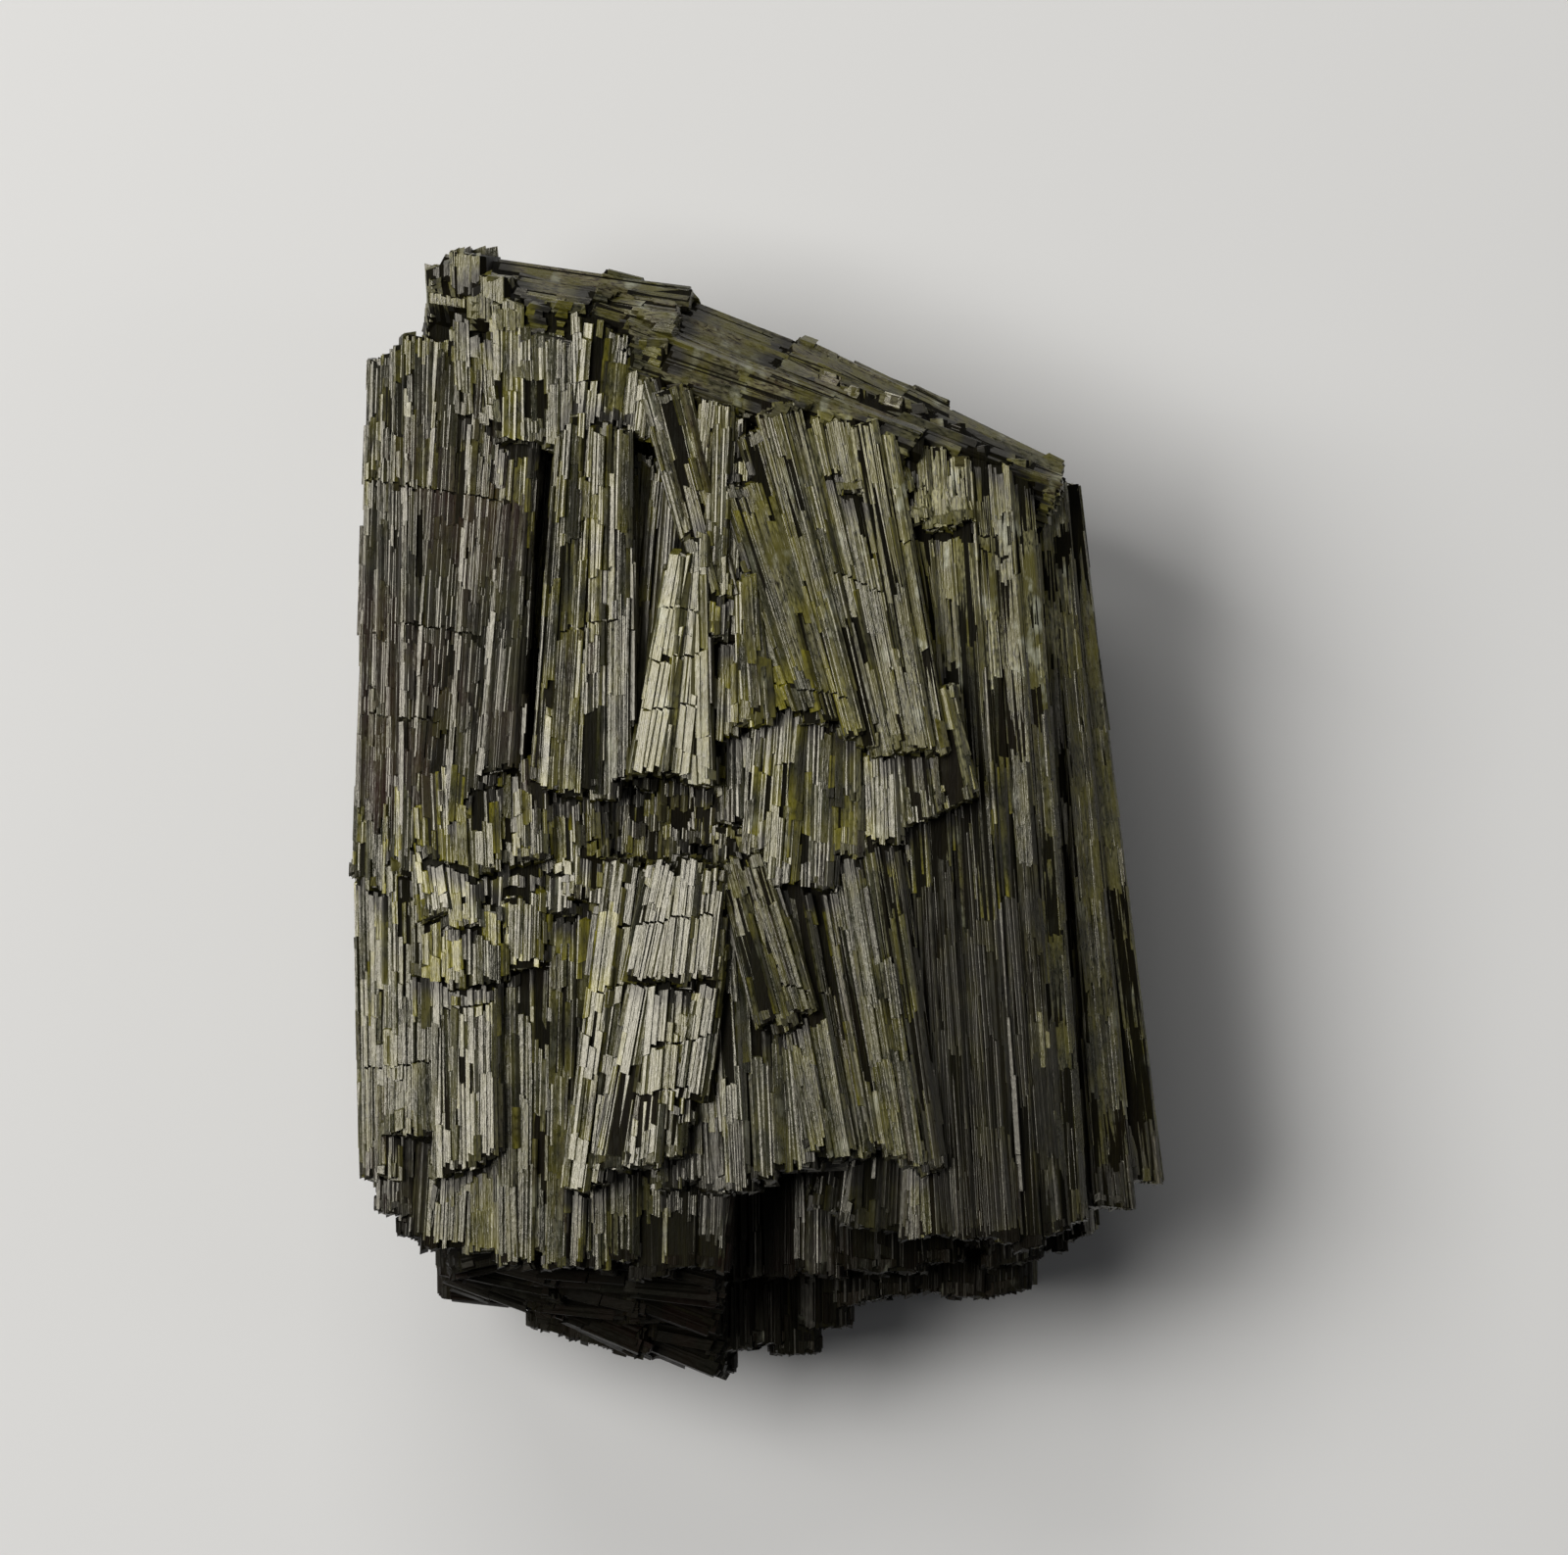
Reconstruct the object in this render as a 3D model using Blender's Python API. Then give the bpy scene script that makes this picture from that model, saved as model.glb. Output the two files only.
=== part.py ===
"""Epidote crystal cluster, 42 x 58 x 22 mm, lying on its back.

Long flat crystals have grown side by side and into one another. They are modelled one by one,
grouped in the sheaves in which they lie, and a Boolean union makes one solid of them.
+Z is the front of the cluster, +Y is its upper end and +X is its right side. It rests on Z = 0.
Every place and size below is in millimetres.
"""

import math
import random

import bmesh
import bpy
from mathutils import Matrix, Vector

MM = 0.001

# Driving dimensions: levels above the ground
FRONT = 20.5
FRONT_RIGHT = 18.6
HEART_TOP = 17.2
HEART_BOTTOM = 3.0
REST = 0.0

# How a crystal is shaped
CRYSTAL_DEPTH = 7.0
EDGE_BEVEL = 0.2
OVERLAP = 1.3

# How unevenly crystals have grown: millimetres for levels and ends, degrees for turns
UNEVEN_LEVEL = 0.32
UNEVEN_END = 0.5
UNEVEN_ROLL = 7.0
UNEVEN_SLANT = 0.25

# The roll that turns a crystal's outer face to the ground
DOWNWARDS = 180.0

# How far the rear foot comes down for each millimetre to the right, at the left
REAR_FOOT_SLANT = -0.3

# The skin of crystals round the sides and the back
SKIN_DEPTH = 5.0
SKIN_OVERLAP = 1.4
SKIN_UNEVEN = 0.5
SKIN_ROLL = 16.0
SKIN_LAP = 0.03

# Colour and finish
EPIDOTE_COLOUR = (0.035, 0.04, 0.012, 1.0)
EPIDOTE_ROUGHNESS = 0.22

CLUSTER = "epidote_cluster"
CRYSTALS = "epidote_crystals"


def clear_scene():
    """Empties the scene that the file opens with."""
    for obj in list(bpy.data.objects):
        bpy.data.objects.remove(obj, do_unlink=True)


def new_collection(name):
    """A collection in the scene."""
    collection = bpy.data.collections.new(name)
    bpy.context.scene.collection.children.link(collection)
    return collection


def epidote():
    """Dark olive stone with a glassy surface."""
    material = bpy.data.materials.new("epidote")
    material.use_nodes = True
    shader = material.node_tree.nodes["Principled BSDF"]
    shader.inputs["Base Color"].default_value = EPIDOTE_COLOUR
    shader.inputs["Roughness"].default_value = EPIDOTE_ROUGHNESS
    shader.inputs["Metallic"].default_value = 0.0
    return material


def along(line, share):
    """The point at this share, 0 to 1, of the way along a line of (x, y) points."""
    points = [Vector(point) for point in line]
    lengths = [(b - a).length for a, b in zip(points, points[1:])]
    left = share * sum(lengths)
    for start, end, length in zip(points, points[1:], lengths):
        if left <= length:
            return start.lerp(end, left / length)
        left -= length
    return points[-1]


class Cluster:
    """Collects the crystals of the cluster as separate bodies, ready to be joined."""

    def __init__(self, collection):
        self.collection = collection
        self.count = 0

    def crystal(
        self,
        head,
        foot,
        widths,
        depth=CRYSTAL_DEPTH,
        roll=0.0,
        slants=(0.0, 0.0),
        bevel=EDGE_BEVEL,
    ):
        """One flat crystal from head to foot, both on the middle line of its outer face.

        widths are those at the head and at the foot, and slants are how far each end leans.
        """
        head = Vector(head)
        foot = Vector(foot)
        length = (head - foot).length
        bm = bmesh.new()
        bmesh.ops.create_cube(bm, size=1.0)
        bmesh.ops.scale(bm, vec=(max(widths), length, depth), verts=bm.verts)
        outer_edges = [e for e in bm.edges if all(v.co.z > 0 for v in e.verts) and is_long(e, length)]
        bmesh.ops.bevel(
            bm,
            geom=outer_edges,
            offset=bevel * min(*widths, depth),
            segments=1,
            profile=0.5,
            affect="EDGES",
            material=-1,
        )
        for vert in bm.verts:
            at_head = vert.co.y > 0
            vert.co.x *= widths[0 if at_head else 1] / max(widths)
            vert.co.y += slants[0 if at_head else 1] * vert.co.x
        axis = (head - foot).normalized()
        side = axis.cross(Vector((0, 0, 1))).normalized()
        turned = Matrix((side, axis, side.cross(axis))).transposed().to_4x4()
        place = Matrix.Translation((head + foot) / 2) @ turned @ Matrix.Rotation(math.radians(roll), 4, "Y")
        place = place @ Matrix.Translation((0, 0, -depth / 2))
        bmesh.ops.transform(bm, matrix=Matrix.Scale(MM, 4) @ place, verts=bm.verts)
        self.count += 1
        self.add(bm, f"crystal_{self.count:03d}")

    def add(self, bm, name):
        """Makes the bmesh an object among the crystals."""
        mesh = bpy.data.meshes.new(name)
        bm.to_mesh(mesh)
        bm.free()
        self.collection.objects.link(bpy.data.objects.new(name, mesh))

    def sheaf(
        self,
        name,
        heads,
        feet,
        count,
        head_levels,
        foot_levels=None,
        depth=CRYSTAL_DEPTH,
        roll=0.0,
        uneven=1.0,
        overlap=OVERLAP,
        foot_slant=0.0,
    ):
        """Crystals side by side, from the line of their heads to the line of their feet.

        Both lines run from the left crystal to the right one, and so do the levels of their
        outer faces. The name seeds their unevenness.
        """
        draw = random.Random(name)
        foot_levels = foot_levels or head_levels
        head_step = (Vector(heads[-1]) - Vector(heads[0])).length / count
        foot_step = (Vector(feet[-1]) - Vector(feet[0])).length / count
        for index in range(count):
            share = (index + 0.5) / count
            level = draw.uniform(-UNEVEN_LEVEL, UNEVEN_LEVEL) * uneven
            head_z = head_levels[0] + share * (head_levels[1] - head_levels[0]) + level
            foot_z = foot_levels[0] + share * (foot_levels[1] - foot_levels[0]) + level
            head = along(heads, share)
            foot = along(feet, share)
            axis = (head - foot).normalized()
            head += axis * draw.uniform(-UNEVEN_END, UNEVEN_END) * uneven
            foot += axis * draw.uniform(-UNEVEN_END, UNEVEN_END) * uneven
            spread = overlap * draw.uniform(0.9, 1.15)
            self.crystal(
                (*head, head_z),
                (*foot, foot_z),
                (head_step * spread, foot_step * spread),
                depth=depth,
                roll=roll + draw.uniform(-UNEVEN_ROLL, UNEVEN_ROLL) * uneven,
                slants=[base + draw.uniform(-UNEVEN_SLANT, UNEVEN_SLANT) for base in (0.0, foot_slant)],
            )

    def skin(self, name, heads, feet, rows):
        """Crystals that clad a side, each row broken across into pieces of unlike height.

        Both lines have as many points, in step with each other, and go round the cluster with
        its inside on their left when they are seen from its upper end.
        """
        draw = random.Random(name)
        for row in range(rows):
            share = (row + 0.5) / rows
            head = in_step(heads, share)
            foot = in_step(feet, share)
            across = in_step(feet, share + 0.5 / rows) - in_step(feet, share - 0.5 / rows)
            facing = math.degrees(math.atan2(across.z, -across.x))
            out = Vector((across.z, 0.0, -across.x)).normalized()
            first_break = draw.uniform(0.25, 0.42)
            second_break = draw.uniform(0.58, 0.75)
            for start, end in ((0.0, first_break), (first_break, second_break), (second_break, 1.0)):
                start = max(start - SKIN_LAP, 0.0)
                offset = out * draw.uniform(-SKIN_UNEVEN, SKIN_UNEVEN)
                width = across.length * SKIN_OVERLAP * draw.uniform(0.9, 1.2)
                self.crystal(
                    head.lerp(foot, start) + offset,
                    head.lerp(foot, end) + offset,
                    (width, width),
                    depth=SKIN_DEPTH,
                    roll=facing + draw.uniform(-SKIN_ROLL, SKIN_ROLL),
                    slants=[draw.uniform(-UNEVEN_SLANT, UNEVEN_SLANT) for _ in range(2)],
                )


def in_step(line, share):
    """The point at this share, 0 to 1, of the points of a line, however far apart they are."""
    place = min(max(share, 0.0), 1.0) * (len(line) - 1)
    index = min(int(place), len(line) - 2)
    return Vector(line[index]).lerp(Vector(line[index + 1]), place - index)


def is_long(edge, length):
    """Whether this edge runs the whole length of a crystal."""
    return abs(edge.verts[0].co.y - edge.verts[1].co.y) > length / 2


def add_heart(cluster):
    """The thick crystals inside, which all the others have grown into."""
    depth = HEART_TOP - HEART_BOTTOM
    left = (-11.8, 23.8, HEART_TOP - 0.4), (-12.0, -20.6, HEART_TOP - 0.8)
    left_middle = (-4.8, 23.8, HEART_TOP + 0.4), (-5.2, -19.4, HEART_TOP)
    right_middle = (5.2, 18.6, HEART_TOP + 0.4), (4.4, -18.6, HEART_TOP - 0.6)
    right = (10.4, 15.6, HEART_TOP - 1.2), (12.6, -18.8, HEART_TOP - 2.4)
    cluster.crystal(*left, (8.4, 8.6), depth - 2, slants=(0.1, 0.0))
    cluster.crystal(*left_middle, (11.5, 11.0), depth, slants=(-0.25, 0.0))
    cluster.crystal(*right_middle, (12.0, 13.0), depth, slants=(-0.4, 0.05))
    cluster.crystal(*right, (6.0, 7.0), depth - 3, slants=(-0.3, 0.0))


def add_left_block(cluster):
    """The broad block of upright laths at the upper left, down to the first crack."""
    cluster.sheaf(
        "left_edge",
        heads=[(-19.6, 22.2), (-17.8, 23.6)],
        feet=[(-20.5, -3.6), (-18.1, -3.8)],
        count=3,
        head_levels=(17.4, 18.7),
        foot_levels=(17.0, 18.6),
        depth=4.0,
        roll=-10.0,
    )
    cluster.sheaf(
        "left_block",
        heads=[(-17.8, 23.6), (-16.8, 23.9), (-14.5, 24.2), (-11.6, 19.6)],
        feet=[(-18.2, -3.8), (-17.3, -3.4), (-16.8, -1.2), (-15.0, -0.4), (-12.7, 2.7)],
        count=6,
        head_levels=(18.9, FRONT - 0.3),
        foot_levels=(18.8, FRONT),
    )
    cluster.sheaf(
        "upper_left_end",
        heads=[(-16.6, 27.6), (-15.0, 27.9), (-12.8, 27.6)],
        feet=[(-16.2, 20.0), (-14.5, 20.0), (-12.8, 20.0)],
        count=3,
        head_levels=(19.0, FRONT),
        foot_levels=(18.6, FRONT - 0.4),
    )


def add_upper_left_steps(cluster):
    """Short crystals under the top ridge, which end in steps."""
    cluster.sheaf(
        "upper_left_steps",
        heads=[(-13.4, 26.4), (-11.0, 26.0), (-8.5, 25.0), (-6.2, 24.0), (-4.8, 22.8)],
        feet=[(-13.0, 18.8), (-11.2, 18.8), (-9.3, 18.9), (-7.0, 18.5), (-5.4, 18.3)],
        count=6,
        head_levels=(FRONT + 0.4, FRONT + 0.1),
        foot_levels=(FRONT + 0.2, FRONT - 0.2),
        uneven=1.3,
    )


def add_left_columns(cluster):
    """The upright columns left of the middle, from the steps to the wide crack."""
    cluster.sheaf(
        "left_columns",
        heads=[(-9.9, 19.6), (-8.2, 19.6), (-6.5, 19.4)],
        feet=[(-11.4, 1.0), (-9.5, 0.6), (-7.9, 0.8), (-6.6, 1.5)],
        count=6,
        head_levels=(FRONT + 0.3, FRONT - 0.1),
    )
    cluster.sheaf(
        "dark_columns",
        heads=[(-6.6, 18.4), (-4.0, 17.0)],
        feet=[(-7.4, 1.6), (-5.4, 1.2)],
        count=3,
        head_levels=(FRONT - 0.9, FRONT - 1.1),
        roll=-14.0,
    )


def add_bright_blade(cluster):
    """The brightest flat blade, which widens downwards from its tip."""
    cluster.sheaf(
        "bright_blade",
        heads=[(-4.0, 12.8), (-2.6, 14.2)],
        feet=[(-5.9, 2.2), (-4.2, 1.6), (-2.3, 0.8)],
        count=3,
        head_levels=(FRONT + 1.2, FRONT + 1.0),
        foot_levels=(FRONT + 1.3, FRONT + 0.7),
        uneven=0.5,
    )


def add_crossing_splinters(cluster):
    """Thin crystals that cross at the middle of the upper half."""
    cluster.sheaf(
        "splinters_leaning_right",
        heads=[(-5.7, 22.4), (-3.7, 20.8)],
        feet=[(-2.8, 10.6), (-1.2, 11.0)],
        count=3,
        head_levels=(FRONT + 0.6, FRONT + 0.8),
    )
    cluster.sheaf(
        "splinters_leaning_left",
        heads=[(-2.6, 20.4), (-0.7, 20.0)],
        feet=[(-3.5, 11.0), (-1.4, 7.6)],
        count=3,
        head_levels=(FRONT + 0.4, FRONT + 0.2),
        foot_levels=(FRONT + 0.9, FRONT + 0.5),
    )
    cluster.sheaf(
        "yellow_blades",
        heads=[(-2.0, 11.5), (0.0, 12.0)],
        feet=[(-2.4, 3.9), (0.7, 4.2)],
        count=4,
        head_levels=(FRONT + 0.3, FRONT + 0.2),
    )


def add_right_fan(cluster):
    """The fan of long laths right of the middle, which lean further the nearer they are to it."""
    cluster.sheaf(
        "fan_inner",
        heads=[(-1.0, 14.0), (-0.4, 17.6), (0.3, 20.6)],
        feet=[(0.9, 4.8), (2.7, 5.4), (3.1, 4.2), (4.8, 4.0)],
        count=4,
        head_levels=(FRONT + 0.5, FRONT + 0.7),
        foot_levels=(FRONT + 0.3, FRONT + 0.5),
    )
    cluster.sheaf(
        "fan_outer",
        heads=[(0.2, 20.6), (3.0, 20.3), (7.0, 19.2)],
        feet=[(4.9, 3.5), (7.3, 2.8), (9.8, 2.6)],
        count=7,
        head_levels=(FRONT + 0.8, FRONT),
        foot_levels=(FRONT + 0.7, FRONT + 0.1),
    )
    cluster.sheaf(
        "fan_short_heads",
        heads=[(3.2, 22.4), (6.0, 21.4), (10.6, 19.4)],
        feet=[(3.4, 17.0), (6.4, 16.0), (11.0, 14.0)],
        count=7,
        head_levels=(FRONT - 1.9, FRONT - 2.3),
        foot_levels=(FRONT + 0.3, FRONT - 0.6),
        depth=4.0,
    )


def add_middle_layer(cluster):
    """The layer that comes out from under the fan and ends in a ragged ledge."""
    cluster.sheaf(
        "middle_layer",
        heads=[(-1.9, 6.0), (2.0, 7.0), (6.0, 6.0), (10.0, 5.6)],
        feet=[
            (-1.6, -0.5),
            (0.0, -0.4),
            (0.9, -3.8),
            (2.5, -3.9),
            (4.0, -2.7),
            (6.5, -1.5),
            (9.5, -0.4),
            (11.4, 0.3),
        ],
        count=8,
        head_levels=(FRONT - 0.7, FRONT - 0.7),
        foot_levels=(FRONT - 0.6, FRONT - 0.6),
    )
    cluster.sheaf(
        "cave_floor",
        heads=[(-8.0, 3.0), (-1.4, 2.4)],
        feet=[(-8.2, -3.6), (-1.6, -1.8)],
        count=4,
        head_levels=(FRONT - 2.2, FRONT - 1.6),
        uneven=1.5,
    )
    cluster.sheaf(
        "joint_blocks",
        heads=[(-2.0, 7.0), (0.8, 7.0)],
        feet=[(-2.2, -1.5), (-0.5, -1.1)],
        count=2,
        head_levels=(FRONT - 1.5, FRONT - 1.1),
    )
    cluster.sheaf(
        "small_yellow_block",
        heads=[(-2.0, -1.2), (0.2, -1.4)],
        feet=[(-1.8, -5.2), (-0.2, -5.4)],
        count=2,
        head_levels=(FRONT - 0.9, FRONT - 0.8),
        uneven=0.6,
    )


def add_lower_fan(cluster):
    """The lower fan right of the middle, with the splinters under its first ledge."""
    cluster.sheaf(
        "lower_fan_left",
        heads=[(-2.0, -2.4), (0.6, -2.8)],
        feet=[(0.3, -11.3), (3.0, -10.6)],
        count=3,
        head_levels=(FRONT - 0.6, FRONT - 0.4),
    )
    cluster.sheaf(
        "lower_fan_right",
        heads=[(-0.1, -2.0), (4.0, -0.8), (7.0, 0.4)],
        feet=[(3.0, -17.8), (6.6, -17.5), (9.6, -18.6)],
        count=7,
        head_levels=(FRONT - 1.1, FRONT - 1.2),
        foot_levels=(FRONT - 1.0, FRONT - 1.8),
    )
    cluster.sheaf(
        "lower_splinters",
        heads=[(-2.2, -5.5), (0.5, -6.2), (3.0, -9.0)],
        feet=[(-1.5, -19.5), (0.5, -19.3), (2.0, -18.7), (4.3, -17.9)],
        count=5,
        head_levels=(FRONT - 1.3, FRONT - 1.4),
        foot_levels=(FRONT - 1.0, FRONT - 1.6),
    )
    cluster.sheaf(
        "below_lower_fan",
        heads=[(4.0, -15.5), (9.0, -15.5)],
        feet=[(3.4, -20.4), (5.0, -21.6), (9.4, -22.2)],
        count=4,
        head_levels=(FRONT - 3.6, FRONT - 3.0),
        foot_levels=(FRONT - 4.4, FRONT - 3.2),
    )


def add_lower_centre(cluster):
    """Blades that lean left in the lower middle, each group overlapping the next one down."""
    cluster.sheaf(
        "centre_upper",
        heads=[(-5.0, -2.4), (-1.8, -3.2)],
        feet=[(-6.3, -8.3), (-4.7, -8.6), (-3.5, -9.2), (-2.2, -8.6)],
        count=3,
        head_levels=(FRONT - 0.2, FRONT - 0.1),
        foot_levels=(FRONT + 0.2, FRONT + 0.1),
    )
    cluster.sheaf(
        "centre_lower",
        heads=[(-5.8, -6.5), (-4.0, -7.0), (-1.7, -7.6)],
        feet=[(-8.1, -18.3), (-6.5, -18.2), (-4.6, -18.4), (-3.2, -14.4)],
        count=5,
        head_levels=(FRONT - 0.5, FRONT - 0.5),
        foot_levels=(FRONT, FRONT - 0.4),
    )
    cluster.sheaf(
        "centre_foot",
        heads=[(-4.4, -12.0), (-2.0, -12.5)],
        feet=[(-5.0, -19.3), (-1.5, -19.5)],
        count=3,
        head_levels=(FRONT - 1.2, FRONT - 1.2),
    )
    cluster.sheaf(
        "centre_lean",
        heads=[(-7.6, -2.6), (-5.4, -2.8)],
        feet=[(-9.6, -19.0), (-7.6, -19.0)],
        count=2,
        head_levels=(FRONT - 0.9, FRONT - 0.9),
    )


def add_middle_steps(cluster):
    """Short crystals broken across in three rows, left of the middle."""
    cluster.sheaf(
        "steps_row_one",
        heads=[(-17.4, 1.5), (-12.6, 3.0), (-8.0, 2.0)],
        feet=[(-17.2, -2.6), (-14.2, -3.4), (-12.0, -2.4), (-7.8, -2.8)],
        count=7,
        head_levels=(FRONT - 0.9, FRONT - 0.6),
        foot_levels=(FRONT - 0.4, FRONT - 0.5),
        uneven=1.5,
    )
    cluster.sheaf(
        "steps_row_two",
        heads=[(-17.6, -1.0), (-12.0, -1.0), (-7.6, -1.2)],
        feet=[(-17.0, -5.4), (-14.4, -6.6), (-11.2, -6.4), (-8.0, -4.4)],
        count=6,
        head_levels=(FRONT - 0.9, FRONT - 1.4),
        foot_levels=(FRONT - 0.4, FRONT - 1.2),
        uneven=1.6,
    )
    cluster.sheaf(
        "steps_row_three",
        heads=[(-17.2, -4.5), (-13.4, -4.5), (-10.8, -4.2)],
        feet=[(-17.2, -8.7), (-13.8, -8.8), (-11.0, -7.4)],
        count=3,
        head_levels=(FRONT - 0.8, FRONT - 0.7),
        uneven=1.2,
    )


def add_lower_left(cluster):
    """The lower left quarter: upright laths whose feet step outwards along the left corner."""
    cluster.sheaf(
        "lower_left_outer",
        heads=[(-20.4, -2.0), (-18.2, -2.0)],
        feet=[(-20.1, -18.6), (-18.4, -19.4)],
        count=2,
        head_levels=(FRONT - 3.6, FRONT - 2.4),
        depth=4.0,
        roll=-8.0,
    )
    cluster.sheaf(
        "lower_left_inner",
        heads=[(-18.6, -3.4), (-16.2, -3.6)],
        feet=[(-18.5, -16.5), (-16.1, -16.8)],
        count=2,
        head_levels=(FRONT - 1.7, FRONT - 1.4),
    )
    cluster.sheaf(
        "lower_left_bright",
        heads=[(-16.5, -6.5), (-13.3, -6.5)],
        feet=[(-16.3, -18.4), (-14.8, -18.6), (-13.3, -17.8)],
        count=3,
        head_levels=(FRONT - 1.3, FRONT - 0.9),
        foot_levels=(FRONT - 0.9, FRONT - 0.6),
    )
    cluster.sheaf(
        "lower_left_wide",
        heads=[(-13.4, -3.5), (-8.2, -3.5)],
        feet=[(-13.0, -23.1), (-9.0, -23.2)],
        count=5,
        head_levels=(FRONT - 1.6, FRONT - 1.5),
        foot_levels=(FRONT - 2.0, FRONT - 2.1),
    )
    cluster.sheaf(
        "lower_left_corner",
        heads=[(-18.9, -13.0), (-13.0, -13.0)],
        feet=[(-18.9, -19.9), (-17.6, -21.6), (-16.2, -22.8), (-13.0, -23.2)],
        count=4,
        head_levels=(FRONT - 3.2, FRONT - 2.4),
        foot_levels=(FRONT - 3.6, FRONT - 2.5),
    )
    cluster.sheaf(
        "lower_centre_feet",
        heads=[(-9.2, -14.0), (-5.0, -14.5), (-1.2, -14.5)],
        feet=[(-9.0, -23.0), (-5.0, -23.7), (-1.6, -24.1)],
        count=5,
        head_levels=(FRONT - 2.6, FRONT - 2.2),
        foot_levels=(FRONT - 3.0, FRONT - 2.7),
    )


def add_right_slab(cluster):
    """The broad dull slab of wide laths on the right, and the groove and ridge along its edge."""
    cluster.sheaf(
        "right_slab",
        heads=[(6.6, 19.2), (10.0, 18.4), (14.0, 17.6)],
        feet=[(9.0, -21.5), (11.0, -22.2), (14.0, -22.5), (17.0, -21.3)],
        count=7,
        head_levels=(FRONT - 0.4, FRONT_RIGHT),
        foot_levels=(FRONT - 2.4, FRONT_RIGHT - 2.0),
        uneven=0.8,
    )
    cluster.sheaf(
        "groove_side",
        heads=[(13.7, 17.6), (15.3, 17.2)],
        feet=[(16.4, -21.0), (18.0, -20.8)],
        count=2,
        head_levels=(FRONT_RIGHT - 1.4, FRONT_RIGHT - 2.6),
        foot_levels=(FRONT_RIGHT - 3.2, FRONT_RIGHT - 4.4),
        depth=5.0,
        roll=32.0,
        uneven=0.7,
    )
    cluster.sheaf(
        "outer_ridge",
        heads=[(15.2, 17.4), (16.5, 16.6)],
        feet=[(17.9, -20.9), (20.6, -18.8)],
        count=2,
        head_levels=(FRONT_RIGHT - 2.2, FRONT_RIGHT - 3.2),
        foot_levels=(FRONT_RIGHT - 2.8, FRONT_RIGHT - 4.2),
        depth=3.5,
        roll=14.0,
        uneven=0.7,
    )


def add_top_crystals(cluster):
    """Crystals that lie across the upper end and slope away behind its ridge."""
    slope = 50.0
    across_slope = 2.1
    ridge = FRONT + 0.2
    outline = FRONT - 5.2
    cluster.sheaf(
        "top_left",
        heads=[(-16.3, 26.3), (-16.2, 28.6)],
        feet=[(-4.4, 24.2), (-3.4, 26.8)],
        count=3,
        head_levels=(ridge - 0.4, outline + 1.0),
        foot_levels=(ridge, outline),
        roll=slope,
        uneven=0.7,
        overlap=across_slope,
    )
    cluster.sheaf(
        "top_centre",
        heads=[(-8.6, 25.2), (-8.0, 27.9)],
        feet=[(8.0, 18.8), (10.4, 20.8)],
        count=3,
        head_levels=(ridge, outline),
        foot_levels=(ridge - 0.2, outline),
        roll=slope,
        uneven=0.7,
        overlap=across_slope,
    )
    cluster.sheaf(
        "top_right",
        heads=[(0.8, 21.8), (2.4, 24.2)],
        feet=[(15.4, 16.8), (16.0, 17.6)],
        count=3,
        head_levels=(ridge - 0.2, outline),
        foot_levels=(ridge - 1.8, outline + 1.2),
        depth=6.0,
        roll=slope,
        uneven=0.6,
        overlap=across_slope,
    )
    centre_ridge = (-6.4, 23.7, ridge - 0.1), (8.0, 18.4, ridge - 0.5)
    left_ridge = (-14.5, 25.8, ridge - 0.5), (-5.0, 23.6, ridge - 0.3)
    low_left = (-15.0, 27.0, outline - 1.4), (-1.0, 25.0, outline - 1.6)
    low_right = (-2.0, 24.6, outline - 1.2), (13.5, 17.2, outline - 2.0)
    cluster.crystal(*centre_ridge, (3.2, 2.6), 5.0, slope / 4, (0.4, -0.3))
    cluster.crystal(*left_ridge, (2.4, 2.2), 5.0, slope / 3, (0.2, 0.2))
    cluster.crystal(*low_left, (4.0, 4.4), 7.0, slope + 30, (0.3, 0.4))
    cluster.crystal(*low_right, (4.4, 3.6), 7.0, slope + 26, (0.1, 0.3))


def add_layered_foot(cluster):
    """The lower left end, where thin layers step back from the front edge to the rear."""
    across = (-15.3, -12.5, -9.0, -6.0, -2.2)
    front_reach = (-23.3, -23.4, -23.6, -23.9, -24.4)
    rear_reach = (-25.1, -26.6, -27.9, -28.9, -28.8)
    front_level = 16.2
    rear_level = 9.4
    layers = 8
    for layer in range(layers):
        share = layer / (layers - 1)
        level = front_level + share * (rear_level - front_level)
        reach = [a + share * (b - a) for a, b in zip(front_reach, rear_reach)]
        cluster.sheaf(
            f"layered_foot_{layer}",
            heads=[(-15.8, -8.0), (-2.0, -8.0)],
            feet=list(zip(across, reach)),
            count=3,
            head_levels=(level + 0.6, level),
            foot_levels=(level + 0.6, level - 0.4),
            depth=2.5,
            uneven=0.7,
            foot_slant=REAR_FOOT_SLANT * share,
        )


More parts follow.
